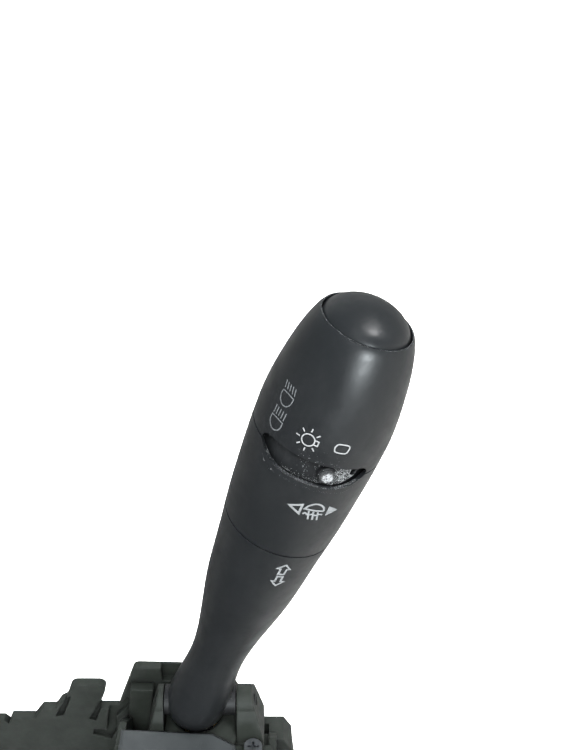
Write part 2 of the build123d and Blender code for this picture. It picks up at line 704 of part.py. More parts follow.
def make_wiper(web_w, board_w):
    """A brass bridge on a ring's web, with three fingers that rub on a contact board."""
    low = min(web_w, board_w)
    high = max(web_w, board_w)
    sheet_w = web_w if web_w < board_w else web_w - WIPER_SHEET
    with BuildPart() as wiper:
        band(WIPER_REACH_R - WIPER_WIDTH / 2, WIPER_REACH_R + WIPER_WIDTH / 2, sheet_w,
             sheet_w + WIPER_SHEET)
        for turn in (0, 120, 240):
            with Locations(facing(turn, low, WIPER_REACH_R)):
                Box(
                    WIPER_WIDTH,
                    high - low,
                    WIPER_SHEET,
                    align=(Align.CENTER, Align.MIN, Align.CENTER),
                )
    return wiper


def make_light_knob():
    with BuildPart() as light_knob:
        with BuildSketch(MERIDIAN):
            with BuildLine():
                side = Spline(
                    (RIM_R, KNOB_LOW_W),
                    (KNOB_R, RIM_W + KNOB_BELLY),
                    (SHOULDER_R, SHOULDER_W),
                    (TIP_R + KNOB_WALL * 0.4, TIP_W - KNOB_WALL * 1.1),
                    (TIP_R - BUTTON_LIP * 0.3, TIP_W),
                    tangents=[(0.02, 1), (-0.75, 1)],
                )
                Polyline(
                    side @ 1,
                    (BUTTON_R + MOVING, TIP_W),
                    (BUTTON_R + MOVING, TIP_W - SEAT_DEPTH),
                    (KNOB_BORE_R, SHOULDER_W),
                    (KNOB_BORE_R, BAND_HIGH_W + BAND_WALL),
                    (RING_BORE_R, BAND_HIGH_W + MOVING),
                    (RING_BORE_R, KNOB_LOW_W),
                    side @ 0,
                )
            make_face()
        revolve(axis=STALK)
        # web and hub that turn on the core
        band(ROD_R + RUNNING, KNOB_BORE_R + KNOB_WALL / 2, KNOB_WEB_W, KNOB_WEB_W + KNOB_WEB)
        band(ROD_R + RUNNING, KNOB_HUB_R, KNOB_HUB_LOW_W, KNOB_HUB_HIGH_W)
        # window over the index peg, open at the rim
        with BuildSketch(facing(WINDOW_ANGLE, 0, WINDOW_START_R)) as window:
            with Locations((0, RIM_W)):
                Rectangle(2 * WINDOW_HALF, 2 * WINDOW_RISE)
            fillet(window.vertices().group_by(Axis.Y)[-1], WINDOW_CORNER)
        extrude(window.sketch, amount=KNOB_R, mode=Mode.SUBTRACT)
    return light_knob


def make_horn_button():
    with BuildPart() as horn_button:
        with BuildSketch(MERIDIAN):
            with BuildLine():
                dome = Spline(
                    (BUTTON_R, BUTTON_EDGE_W),
                    (BUTTON_R * 0.66, BUTTON_EDGE_W + BUTTON_DOME * 0.66),
                    (0, BUTTON_APEX_W),
                    tangents=[(-0.35, 1), (-1, 0)],
                )
                Polyline(
                    dome @ 1,
                    (0, BUTTON_EDGE_W + BUTTON_WALL),
                    (BUTTON_R - BUTTON_WALL, BUTTON_EDGE_W - 0.4),
                    (BUTTON_R - BUTTON_WALL, BUTTON_EDGE_W - BUTTON_SKIRT),
                    (BUTTON_R, BUTTON_EDGE_W - BUTTON_SKIRT),
                    dome @ 0,
                )
            make_face()
        revolve(axis=STALK)
        stem_low = ROD_END_W - 4
        rod(BUTTON_STEM_R, station(stem_low), BUTTON_EDGE_W + BUTTON_WALL * 1.5 - stem_low)
    return horn_button


def make_horn_bridge():
    """A brass ring under the button that closes the horn contact when it is pressed."""
    with BuildPart() as horn_bridge:
        band(
            HORN_CONTACT_R - CONTACT_WIDTH,
            BUTTON_R - BUTTON_WALL,
            BRIDGE_W,
            BRIDGE_W + CONTACT_SHEET,
        )
    return horn_bridge


def make_coil(radius, length, turns, seat):
    """A compression spring of square wire, standing on a plane."""
    with BuildPart() as coil:
        rise = length - WIRE
        with BuildLine():
            path = Helix(
                pitch=rise / turns,
                height=rise,
                radius=radius,
                center=seat.origin + seat.z_dir * (WIRE / 2),
                direction=seat.z_dir,
            )
        with BuildSketch(Plane(origin=path @ 0, z_dir=path % 0)):
            Rectangle(WIRE, WIRE)
        sweep(path=path, is_frenet=True)
    return coil


# ================================ yoke =========================================================
def make_swivel_yoke():
    with BuildPart() as swivel_yoke:
        # side plates with rounded ears round the flash pin
        foot_left = -EAR_LEFT - EAR_FOOT_LEFT
        foot_right = EAR_RIGHT + EAR_FOOT_RIGHT
        with BuildSketch(Plane.YZ.offset(foot_left)) as side:
            Polygon(
                (YOKE_FRONT_Y, YOKE_LOW_Z),
                (PLATE_REAR_Y, YOKE_LOW_Z),
                (PLATE_REAR_Y, PIVOT_Z),
                (-EAR_R, PIVOT_Z),
                (EAR_FRONT_Y, EAR_FOOT_Z),
                (YOKE_FRONT_Y, EAR_FOOT_Z),
                align=None,
            )
            with Locations((0, PIVOT_Z)):
                Circle(EAR_R)
        extrude(side.sketch, amount=foot_right - foot_left)
        block(
            (-EAR_LEFT, EAR_RIGHT),
            (YOKE_FRONT_Y + BAR_THICKNESS, PLATE_REAR_Y + 1),
            (YOKE_LOW_Z - 1, PIVOT_Z + EAR_R + 1),
            mode=Mode.SUBTRACT,
        )
        block(
            (-EAR_LEFT, EAR_RIGHT),
            (YOKE_FRONT_Y - 1, YOKE_FRONT_Y + BAR_THICKNESS + 1),
            (EAR_FOOT_Z, PIVOT_Z),
            mode=Mode.SUBTRACT,
        )
        # the ears thin towards their tips
        tips = (-EAR_LEFT - EAR_TIP_LEFT, EAR_RIGHT + EAR_TIP_RIGHT)
        for tip, foot in zip(tips, (foot_left, foot_right)):
            outline = (
                (foot, EAR_FOOT_Z),
                (tip, PIVOT_Z + EAR_R + 1),
                (tip * 2, PIVOT_Z + EAR_R + 1),
                (foot * 2, EAR_FOOT_Z),
            )
            plate(outline, YOKE_FRONT_Y - 1, PLATE_REAR_Y + 1, mode=Mode.SUBTRACT)
        # rear bar, drive arm with its peg, and the two trunnions
        block(
            (-EAR_LEFT - BAR_THICKNESS, EAR_RIGHT + BAR_LAP),
            (PLATE_REAR_Y - BAR_LAP / 2, YOKE_REAR_Y),
            (YOKE_LOW_Z, EAR_FOOT_Z),
        )
        tail_swing = (PIVOT_Z - YOKE_LOW_Z) * math.tan(math.radians(FLASH_ANGLE))
        block(
            (-TAIL_R - MOVING, TAIL_R + MOVING),
            (0, tail_swing + TAIL_R + MOVING),
            (YOKE_LOW_Z, EAR_FOOT_Z),
            mode=Mode.SUBTRACT,
        )
        block(
            (-DRIVE_WIDTH / 2, DRIVE_WIDTH / 2),
            (YOKE_FRONT_Y, YOKE_FRONT_Y + 2 * DRIVE_PEG_R),
            (DRIVE_Z - DRIVE_WIDTH / 2, YOKE_LOW_Z + 1),
        )
        peg_start = across_y(0, TURN_SLIDER_REAR_Y - TURN_SLIDER_THICKNESS, DRIVE_Z)
        rod(DRIVE_PEG_R, peg_start, YOKE_FRONT_Y + 1 - peg_start.origin.Y)
        front = across_y(0, RIB_Y - RIB, TURN_Z)
        rod(TRUNNION_R, front, YOKE_FRONT_Y + 1 - front.origin.Y)
        rod(TRUNNION_R, across_y(0, YOKE_REAR_Y - 1, TURN_Z), WALL_BACK_Y - YOKE_REAR_Y + 1)
        # the pin's seats
        rod(PIN_R, across_x(foot_left, 0, PIVOT_Z), foot_right - foot_left, mode=Mode.SUBTRACT)
    return swivel_yoke


def make_flash_pin():
    with BuildPart() as flash_pin:
        rod(PIN_R, across_x(-PIN_LEFT, 0, PIVOT_Z), PIN_LEFT + PIN_RIGHT)
        chamfer(flash_pin.edges().filter_by(GeomType.CIRCLE), PIN_R / 5)
    return flash_pin


# ================================ housing ======================================================
def make_case_body():
    with BuildPart() as case_body:
        block_side = (
            (CASE_RIGHT - BLOCK_CORNER[0], BLOCK_Z),
            (CASE_RIGHT - BLOCK_CORNER[0] / 4, BLOCK_Z - BLOCK_CORNER[1]),
        )
        # upright wall with its stepped top edge, snap latch and tower
        with BuildSketch(Plane.XZ.offset(-WALL_BACK_Y)) as wall:
            with BuildLine():
                Polyline(
                    (CASE_LEFT, CASE_LOW_Z),
                    (CASE_LEFT, STEP_Z - END_DROP),
                    (NICK_X - NICK_WIDTH, STEP_Z - END_DROP),
                    (NICK_X, STEP_Z - NICK_DEPTH),
                    (NICK_X + NICK_WIDTH, STEP_Z),
                    (BRIDGE_X - BRIDGE_RUN, STEP_Z),
                    (BRIDGE_X, BRIDGE_Z),
                    *[(LATCH_X + x, LATCH_Z + z) for x, z in LATCH_STEPS],
                    (LATCH_X, LATCH_Z),
                    (LATCH_RIGHT, LATCH_Z),
                    *[(LATCH_RIGHT + x, LATCH_Z + z) for x, z in LATCH_NECK],
                    (LATCH_RIGHT + LATCH_NECK[-1][0], BRIDGE_Z),
                    (FOOT_X, BRIDGE_Z),
                    (TOWER_LEFT, TOWER_Z),
                    (TOWER_RIGHT, TOWER_Z - TOWER_FALL),
                    (TOWER_RIGHT + TOWER_SLOPE, TOWER_Z - TOWER_SIDE),
                    (BLOCK_X, BLOCK_Z),
                    *block_side,
                    (CASE_RIGHT, CASE_LOW_Z),
                    close=True,
                )
            make_face()
            steps = wall.vertices().filter_by(lambda v: BRIDGE_Z - 1 < v.Y < LATCH_Z - 1)
            fillet(steps, SMALL_R)
            tops = wall.vertices().filter_by(lambda v: v.Y > LATCH_Z - 1)
            fillet(tops, CORNER_R)
        extrude(wall.sketch, amount=WALL)
        # reliefs beside the latch's arm, the hollow behind the box, the pocket beside the stalk
        for outline in LATCH_RELIEFS:
            points = [(LATCH_X + x, LATCH_Z + z) for x, z in outline]
            plate(points, WALL_Y - 1, WALL_Y + RELIEF, mode=Mode.SUBTRACT)
        hollow = [(FOOT_X + x, BRIDGE_Z + z) for x, z in HOLLOW]
        plate(hollow, WALL_Y - 1, WALL_Y + RELIEF, mode=Mode.SUBTRACT)
        block(
            (POCKET_LEFT, TOWER_RIGHT - TOWER_SLOPE / 2),
            (WALL_Y - 1, WALL_Y + POCKET_DEPTH),
            (TOWER_Z - POCKET_HEIGHT, TOWER_Z + 1),
            mode=Mode.SUBTRACT,
        )
        # block at the right end
        end_x = BOX_RIGHT - BOX_WALL
        end = ((end_x, DECK_Z - 1), (end_x, BLOCK_Z), *block_side, (CASE_RIGHT, DECK_Z - 1))
        plate(end, BLOCK_Y, WALL_Y + 1)
        # deck under the lever box, arched over the steering column
        block(
            (min(BOX_LEFT, -DECK_HALF), max(CASE_RIGHT, DECK_HALF)),
            (BOX_FRONT_Y, WALL_Y + 1),
            (CASE_LOW_Z, DECK_Z),
        )
        block(
            (-FLANGE_END, FLANGE_END),
            (BRACKET_FRONT_Y + 1, BRACKET_REAR_Y - 1.5),
            (BRACKET_THICKNESS, FOOT_TOP_Z),
        )
        rod(
            ARCH_R,
            across_y(0, BOX_FRONT_Y - 1, ARCH_Z),
            WALL_BACK_Y - BOX_FRONT_Y + 2,
            mode=Mode.SUBTRACT,
        )
        for x, y in RIVET_PLACES:
            rod(RIVET_R, level(x, y, 0), FOOT_TOP_Z + 1, mode=Mode.SUBTRACT)
        # slot for the cancel pawl, and the boss that holds its pin
        block(
            (-PAWL_SLOT, PAWL_SLOT),
            (PAWL_FRONT_Y - MOVING, PAWL_FRONT_Y + PAWL_THICKNESS + MOVING),
            (CASE_LOW_Z, DECK_Z + 1),
            mode=Mode.SUBTRACT,
        )
        block(
            (-PAWL_HALF, PAWL_HALF),
            (PAWL_FRONT_Y - BAR_THICKNESS - MOVING, PAWL_FRONT_Y - MOVING),
            (DECK_Z - 1, PAWL_TOP_Z - CONTACT_SHEET),
        )
        rod(
            PAWL_PIN_R,
            across_y(0, PAWL_FRONT_Y - BAR_THICKNESS - MOVING, PAWL_PIVOT_Z),
            BAR_THICKNESS,
            mode=Mode.SUBTRACT,
        )
        for side in (-1, 1):
            x = side * (PAWL_SLOT + POST_GAP + POST / 2)
            block(
                (x - POST / 2, x + POST / 2),
                (PAWL_FRONT_Y, PAWL_FRONT_Y + PAWL_THICKNESS),
                (DECK_Z - 1, PAWL_TOP_Z + MOVING),
            )
        # bearing for the rear trunnion, and the window for the flash contacts
        rod(
            TRUNNION_R + RUNNING,
            across_y(0, WALL_Y - 1, TURN_Z),
            WALL + 2,
            mode=Mode.SUBTRACT,
        )
        block(
            (-FLASH_WINDOW, FLASH_WINDOW),
            (WALL_Y - 1, WALL_BACK_Y + 1),
            (FLASH_SLIDER_Z - FLASH_WINDOW_HEIGHT / 3, FLASH_SLIDER_Z + FLASH_WINDOW_HEIGHT * 2 / 3),
            mode=Mode.SUBTRACT,
        )
    return case_body


def make_lever_housing():
    with BuildPart() as lever_housing:
        # front wall and two side walls standing on the deck
        block((BOX_LEFT, BOX_RIGHT), (BOX_FRONT_Y, BOX_FRONT_Y + BOX_WALL), (DECK_Z, BOX_TOP_Z))
        sides = (
            (BOX_LEFT, SIDE_Z, WALL_Y, LEFT_FALL),
            (BOX_RIGHT - BOX_WALL, RIGHT_SIDE_Z, BLOCK_Y, RIGHT_FALL),
        )
        for low_x, top_z, rear_y, fall in sides:
            with BuildSketch(Plane.YZ.offset(low_x)) as side:
                Polygon(
                    (BOX_FRONT_Y, DECK_Z),
                    (rear_y, DECK_Z),
                    (rear_y, top_z - fall),
                    (0, top_z),
                    (RIB_Y, top_z),
                    (RIB_Y - RIM_RISE_Y, BOX_TOP_Z),
                    (BOX_FRONT_Y, BOX_TOP_Z),
                    align=None,
                )
            extrude(side.sketch, amount=BOX_WALL)
        # gusset against the tower, left of the stalk
        rim = [(FLANGE_LEFT[0][0], FLANGE_TOP + 0.4), (FLANGE_RIGHT[0][0], FLANGE_TOP)]
        outline = [*rim, *FLANGE_RIGHT[1:], *FLANGE_LEFT[:0:-1]]
        plate([(BOX_LEFT + x, SIDE_Z + z) for x, z in outline], WALL_Y - FLANGE, WALL_Y)
        # rib with the front trunnion's bearing, and shelves that guide the turn slider
        block((BOX_LEFT + 1, BOX_RIGHT - 1), (RIB_Y - RIB, RIB_Y), (SHELF_Z, BOX_TOP_Z))
        for z in (SHELF_Z, SLIDER_LOW_Z - MOVING - SHELF):
            block(
                (BOX_LEFT + 1, BOX_RIGHT - 1),
                (BOX_FRONT_Y + 1, TURN_SLIDER_REAR_Y),
                (z, z + SHELF),
            )
        rod(TRUNNION_R + RUNNING, across_y(0, RIB_Y - RIB - 1, TURN_Z), RIB + 2,
            mode=Mode.SUBTRACT)
        # rails that guide the flash slider: a channel open towards the slider each side
        rail_y = (FLASH_SLIDER_FRONT_Y, BLOCK_Y - MOVING)
        channel = (FLASH_SLIDER_Z - MOVING, FLASH_SLIDER_Z + FLASH_SLIDER_THICKNESS + MOVING)
        lip = SLIDER_HALF - SHELF_LAP
        for span in ((BOX_LEFT + 1, -lip), (lip, BOX_RIGHT - 1)):
            block(span, rail_y, (channel[0] - SHELF, channel[1] + SHELF))
        block(
            (-SLIDER_HALF - MOVING, SLIDER_HALF + MOVING),
            (rail_y[0] - 1, rail_y[1] + 1),
            channel,
            mode=Mode.SUBTRACT,
        )
        # screw bosses against the front wall
        for x, y, boss_top, seat in SCREW_PLACES:
            block((x - BOSS_R, x + BOSS_R), (BOX_FRONT_Y + 1, y + BOSS_R), (SHELF_Z, boss_top))
            rod(SCREW_R, level(x, y, seat - SCREW_LENGTH), SCREW_LENGTH + 1, mode=Mode.SUBTRACT)
    return lever_housing


def make_front_cover():
    with BuildPart() as front_cover:
        with BuildSketch(Plane.XY.offset(BOX_TOP_Z)) as top:
            Polygon(
                (COVER_LEFT, BOX_FRONT_Y - COVER_TOP),
                (COVER_LEFT, COVER_LEFT_Y),
                (COVER_CORNER_X, COVER_REAR_Y),
                (COVER_SIDE_X, COVER_REAR_Y - COVER_CHAMFER),
                (COVER_SIDE_X, BOX_FRONT_Y - COVER_TOP),
                align=None,
            )
        extrude(top.sketch, amount=COVER_TOP)
        chamfer(front_cover.edges().group_by(Axis.Z)[-1], COVER_EDGE)
        block(
            (COVER_LEFT, COVER_SIDE_X),
            (BOX_FRONT_Y - COVER_TOP, BOX_FRONT_Y),
            (BOX_TOP_Z - COVER_SKIRT, BOX_TOP_Z),
        )
        for x, y, boss_top, seat in SCREW_PLACES:
            rod(SCREW_R, level(x, y, boss_top), seat - boss_top + 1, mode=Mode.SUBTRACT)
    return front_cover


def make_detent_cam():
    """The cradle under the lever's tail; its grooves hold the stalk at rest and in each turn."""
    with BuildPart() as detent_cam:
        block((-CAM_HALF, CAM_HALF), (CAM_FRONT_Y, CAM_REAR_Y), (DECK_Z, CAM_TOP_Z))
        reach = TURN_Z - PLUNGER_TIP_Z + MOVING
        rod(reach, across_y(0, CAM_FRONT_Y - 1, TURN_Z), CAM_REAR_Y - CAM_FRONT_Y + 2,
            mode=Mode.SUBTRACT)
        for turn in (-TURN_ANGLE, 0, TURN_ANGLE):
            x = reach * math.sin(math.radians(turn))
            z = TURN_Z - reach * math.cos(math.radians(turn))
            rod(CAM_NOTCH_R, across_y(x, CAM_FRONT_Y - 1, z), CAM_REAR_Y - CAM_FRONT_Y + 2,
                mode=Mode.SUBTRACT)
    return detent_cam


def make_cover_screws():
    with BuildPart() as cover_screws:
        for x, y, _, seat in SCREW_PLACES:
            rod(SCREW_R, level(x, y, seat - SCREW_LENGTH), SCREW_LENGTH)
            rod(SCREW_HEAD_R, level(x, y, seat), SCREW_HEAD)
            with BuildSketch(level(x, y, seat + SCREW_HEAD)) as cross:
                Rectangle(SCREW_HEAD_R * 1.2, SCREW_R / 2)
                Rectangle(SCREW_R / 2, SCREW_HEAD_R * 1.2)
            extrude(cross.sketch, amount=-SCREW_HEAD / 2, mode=Mode.SUBTRACT)
    return cover_screws


def make_circuit_board():
    with BuildPart() as circuit_board:
        block((PCB_LEFT, PCB_RIGHT), (PCB_Y, PCB_Y + PCB_THICKNESS), (PCB_LOW_Z, PCB_HIGH_Z))
        block(
            (-FLASH_WINDOW, FLASH_WINDOW),
            (PCB_Y, PCB_Y + PCB_THICKNESS),
            (PCB_HIGH_Z - 1, FLASH_SLIDER_Z + FLASH_WINDOW_HEIGHT * 2 / 3 + 1),
        )
    return circuit_board


def make_rear_cover():
    with BuildPart() as rear_cover:
        left = PCB_LEFT - 1
        right = PCB_RIGHT + 1
        outline = (
            (left - BOX_WALL, CASE_LOW_Z + 0.4),
            (right + BOX_WALL, CASE_LOW_Z + 0.4),
            (right + BOX_WALL, REAR_TOP_Z),
            (FLASH_WINDOW + 3, REAR_TOP_Z),
            (FLASH_WINDOW + 1.6, TONGUE_TOP_Z),
            (-FLASH_WINDOW - 1.6, TONGUE_TOP_Z),
            (-FLASH_WINDOW - 3, REAR_TOP_Z),
            (left - BOX_WALL, REAR_TOP_Z),
        )
        plate(outline, WALL_BACK_Y, REAR_Y)
        block((left, right), (WALL_BACK_Y - 1, REAR_Y - REAR_SKIN),
              (PCB_LOW_Z - 0.6, REAR_TOP_Z - REAR_SKIN), mode=Mode.SUBTRACT)
        block((-FLASH_WINDOW - 0.4, FLASH_WINDOW + 0.4), (WALL_BACK_Y - 1, REAR_Y - REAR_SKIN),
              (PCB_LOW_Z, TONGUE_TOP_Z - REAR_SKIN), mode=Mode.SUBTRACT)
        # opening for the connector, and standoffs that hold the board
        block((SOCKET_LEFT, SOCKET_RIGHT), (WALL_BACK_Y, REAR_Y + 1),
              (SOCKET_LOW_Z, SOCKET_HIGH_Z), mode=Mode.SUBTRACT)
        for x in STANDOFFS:
            rod(BOSS_R / 2, across_y(x, PCB_Y + PCB_THICKNESS, STANDOFF_Z),
                REAR_Y - PCB_Y - PCB_THICKNESS - REAR_SKIN / 2)
    return rear_cover


def make_connector_shroud():
    with BuildPart() as connector_shroud:
        x = (SOCKET_LEFT, SOCKET_RIGHT)
        z = (SOCKET_LOW_Z, SOCKET_HIGH_Z)
        base_y = PCB_Y + PCB_THICKNESS
        mouth_y = REAR_Y + SOCKET_DEPTH
        block(x, (base_y, mouth_y), z)
        block(
            (x[0] + SOCKET_WALL, x[1] - SOCKET_WALL),
            (REAR_Y - 1, mouth_y + 1),
            (z[0] + SOCKET_WALL, z[1] - SOCKET_WALL),
            mode=Mode.SUBTRACT,
        )
        # polarising ribs inside the mouth, and a catch on top for the mating plug
        for rib_x in (x[0] + SOCKET_WALL + 4, x[1] - SOCKET_WALL - 4):
            block((rib_x - 0.5, rib_x + 0.5), (REAR_Y - 1, mouth_y - 1),
                  (z[1] - SOCKET_WALL - 1, z[1] - SOCKET_WALL + 0.2))
        middle = sum(x) / 2
        block((middle - 3, middle + 3), (mouth_y - 3.2, mouth_y - 1.2), (z[1] - 0.2, z[1] + 1))
        for number in range(BLADE_COUNT):
            blade_x = middle + (number - (BLADE_COUNT - 1) / 2) * BLADE_PITCH
            block((blade_x - BLADE_WIDTH / 2, blade_x + BLADE_WIDTH / 2), (base_y - 1, REAR_Y),
                  (BLADE_Z - BLADE_THICKNESS / 2, BLADE_Z + BLADE_THICKNESS / 2),
                  mode=Mode.SUBTRACT)
    return connector_shroud


def make_terminal_blades():
    with BuildPart() as terminal_blades:
        middle = (SOCKET_LEFT + SOCKET_RIGHT) / 2
        base_y = PCB_Y + PCB_THICKNESS
        for number in range(BLADE_COUNT):
            blade_x = middle + (number - (BLADE_COUNT - 1) / 2) * BLADE_PITCH
            block((blade_x - BLADE_WIDTH / 2, blade_x + BLADE_WIDTH / 2),
                  (base_y, base_y + BLADE_LENGTH),
                  (BLADE_Z - BLADE_THICKNESS / 2, BLADE_Z + BLADE_THICKNESS / 2))
    return terminal_blades


def make_mounting_bracket():
    """A pressed steel saddle: two bolted feet joined by an arch over the column."""
    with BuildPart() as mounting_bracket:
        depth = BRACKET_REAR_Y - BRACKET_FRONT_Y
        with BuildSketch(Plane.XZ.offset(-BRACKET_REAR_Y)) as profile:
            with Locations((0, ARCH_Z)):
                Circle(COLUMN_R + BRACKET_THICKNESS)
            with Locations((0, BRACKET_THICKNESS / 2)):
                Rectangle(2 * FOOT_END, BRACKET_THICKNESS)
            with Locations((0, -COLUMN_R)):
                Rectangle(4 * COLUMN_R, 2 * COLUMN_R, mode=Mode.SUBTRACT)
            with Locations((0, ARCH_Z)):
                Circle(COLUMN_R, mode=Mode.SUBTRACT)
        extrude(profile.sketch, amount=depth)
        corners = mounting_bracket.edges().filter_by(Axis.Z)
        fillet(corners, FOOT_CORNER_R)
        # bolt holes, and the window the cancel pawl dips through
        for side in (-1, 1):
            rod(BOLT_R, level(side * BOLT_X, BOLT_Y, -1), BRACKET_THICKNESS + 2,
                mode=Mode.SUBTRACT)
        for x, y in RIVET_PLACES:
            rod(RIVET_R, level(x, y, -1), BRACKET_THICKNESS + 2, mode=Mode.SUBTRACT)
        block(
            (-PAWL_SLOT - 1, PAWL_SLOT + 1),
            (PAWL_FRONT_Y - 1.5, PAWL_FRONT_Y + PAWL_THICKNESS + 1.5),
            (0, DECK_Z),
            mode=Mode.SUBTRACT,
        )
    return mounting_bracket


def make_bracket_rivets():
    with BuildPart() as bracket_rivets:
        for x, y in RIVET_PLACES:
            rod(RIVET_R, level(x, y, 0), FOOT_TOP_Z)
            rod(RIVET_HEAD_R, level(x, y, FOOT_TOP_Z), RIVET_R / 2)
    return bracket_rivets


def make_turn_contact_plate():
    with BuildPart() as turn_contact_plate:
        y = BOX_FRONT_Y + BOX_WALL
        pitch = (TURN_SLIDER_HEIGHT + TRACK_GAP) / TRACK_COUNT
        for row in range(TRACK_COUNT):
            z = (SLIDER_LOW_Z + row * pitch, SLIDER_LOW_Z + (row + 1) * pitch - TRACK_GAP)
            block((-CONTACT_HALF, CONTACT_HALF), (y, y + CONTACT_SHEET), z)
    return turn_contact_plate


# ================================ sliding and swinging pieces ===================================
def make_turn_slider():
    with BuildPart() as turn_slider:
        y = (TURN_SLIDER_REAR_Y - TURN_SLIDER_THICKNESS, TURN_SLIDER_REAR_Y)
        block((-SLIDER_HALF, SLIDER_HALF), y, (SLIDER_LOW_Z, SLIDER_LOW_Z + TURN_SLIDER_HEIGHT))
        with BuildSketch(Plane.XZ.offset(-y[1])) as slot:
            with Locations((0, DRIVE_Z)):
                SlotOverall(DRIVE_SLOT, 2 * (DRIVE_PEG_R + MOVING / 2), rotation=90)
        extrude(slot.sketch, amount=TURN_SLIDER_THICKNESS, mode=Mode.SUBTRACT)
    return turn_slider


def make_turn_wiper():
    with BuildPart() as turn_wiper:
        face = TURN_SLIDER_REAR_Y - TURN_SLIDER_THICKNESS
        reach = BOX_FRONT_Y + BOX_WALL + CONTACT_SHEET + WIPER_GAP
        finger = FINGER_WIDTH / 2
        z = (SLIDER_LOW_Z + TURN_SLIDER_HEIGHT / 5, SLIDER_LOW_Z + TURN_SLIDER_HEIGHT * 4 / 5)
        for side in (-1, 1):
            x = side * SLIDER_HALF * 0.62
            block((x - 2 * finger, x + 2 * finger), (face - CONTACT_SHEET, face), z)
            for low in (z[0], z[1] - 2 * finger):
                block((x - finger, x + finger), (reach, face), (low, low + 2 * finger))
    return turn_wiper


def make_flash_slider():
    with BuildPart() as flash_slider:
        z = (FLASH_SLIDER_Z, FLASH_SLIDER_Z + FLASH_SLIDER_THICKNESS)
        block((-SLIDER_HALF, SLIDER_HALF), (FLASH_SLIDER_FRONT_Y, FLASH_SLIDER_REAR_Y), z)
        # cross slot for the lever's tail: it drives the slider along Y and is free along X
        swing = (TURN_Z - FLASH_SLIDER_Z) * math.tan(math.radians(TURN_ANGLE))
        with BuildSketch(Plane.XY.offset(z[0])) as slot:
            Rectangle(2 * (swing + TAIL_R + MOVING), 2 * (TAIL_R + MOVING))
        extrude(slot.sketch, amount=FLASH_SLIDER_THICKNESS, mode=Mode.SUBTRACT)
    return flash_slider


def make_flash_wiper():
    with BuildPart() as flash_wiper:
        top = FLASH_SLIDER_Z + FLASH_SLIDER_THICKNESS
        travel = (PIVOT_Z - FLASH_SLIDER_Z - 1) * math.radians(FLASH_ANGLE)
        tip = PCB_Y - travel - WIPER_GAP
        root = FLASH_SLIDER_REAR_Y - FINGER_WIDTH
        end = FINGER_X + FINGER_WIDTH / 2
        z = (top, top + CONTACT_SHEET)
        block((-end, end), (root, FLASH_SLIDER_REAR_Y), z)
        for side in (-1, 1):
            x = side * FINGER_X
            block((x - FINGER_WIDTH / 2, x + FINGER_WIDTH / 2), (root, tip), z)
    return flash_wiper


def make_detent_plunger():
    with BuildPart() as detent_plunger:
        start = PLUNGER_TIP_Z + PLUNGER_R
        rod(PLUNGER_R, level(0, 0, start), PLUNGER_LENGTH - PLUNGER_R)
        with Locations((0, 0, start)):
            Sphere(PLUNGER_R)
    return detent_plunger


def make_cancel_pawl():
    """The finger that dips into the column arch, where the wheel's cam knocks the stalk back."""
    with BuildPart() as cancel_pawl:
        outline = (
            (-PAWL_HALF, PAWL_TOP_Z),
            (-PAWL_HALF, PAWL_PIVOT_Z - PAWL_HALF / 2),
            (-PAWL_POINT, PAWL_TIP_Z + PAWL_POINT),
            (0, PAWL_TIP_Z),
            (PAWL_POINT, PAWL_TIP_Z + PAWL_POINT),
            (PAWL_HALF, PAWL_PIVOT_Z - PAWL_HALF / 2),
            (PAWL_HALF, PAWL_TOP_Z),
        )
        plate(outline, PAWL_FRONT_Y, PAWL_FRONT_Y + PAWL_THICKNESS)
        rod(PAWL_PIN_R + RUNNING, across_y(0, PAWL_FRONT_Y - 1, PAWL_PIVOT_Z),
            PAWL_THICKNESS + 2, mode=Mode.SUBTRACT)
    return cancel_pawl


def make_pawl_pin():
    with BuildPart() as pawl_pin:
        start = PAWL_FRONT_Y - BAR_THICKNESS - MOVING
        rod(PAWL_PIN_R, across_y(0, start, PAWL_PIVOT_Z), BAR_THICKNESS + MOVING + PAWL_THICKNESS)
    return pawl_pin


def make_pawl_spring():
    """A leaf across two posts; it sits on the pawl's flat top and brings it back upright."""
    with BuildPart() as pawl_spring:
        low = PAWL_TOP_Z + MOVING
        end = PAWL_SLOT + POST_GAP + POST
        block((-end, end), (PAWL_FRONT_Y + 2 * MOVING, PAWL_FRONT_Y + PAWL_THICKNESS - 2 * MOVING),
              (low, low + CONTACT_SHEET))
    return pawl_spring


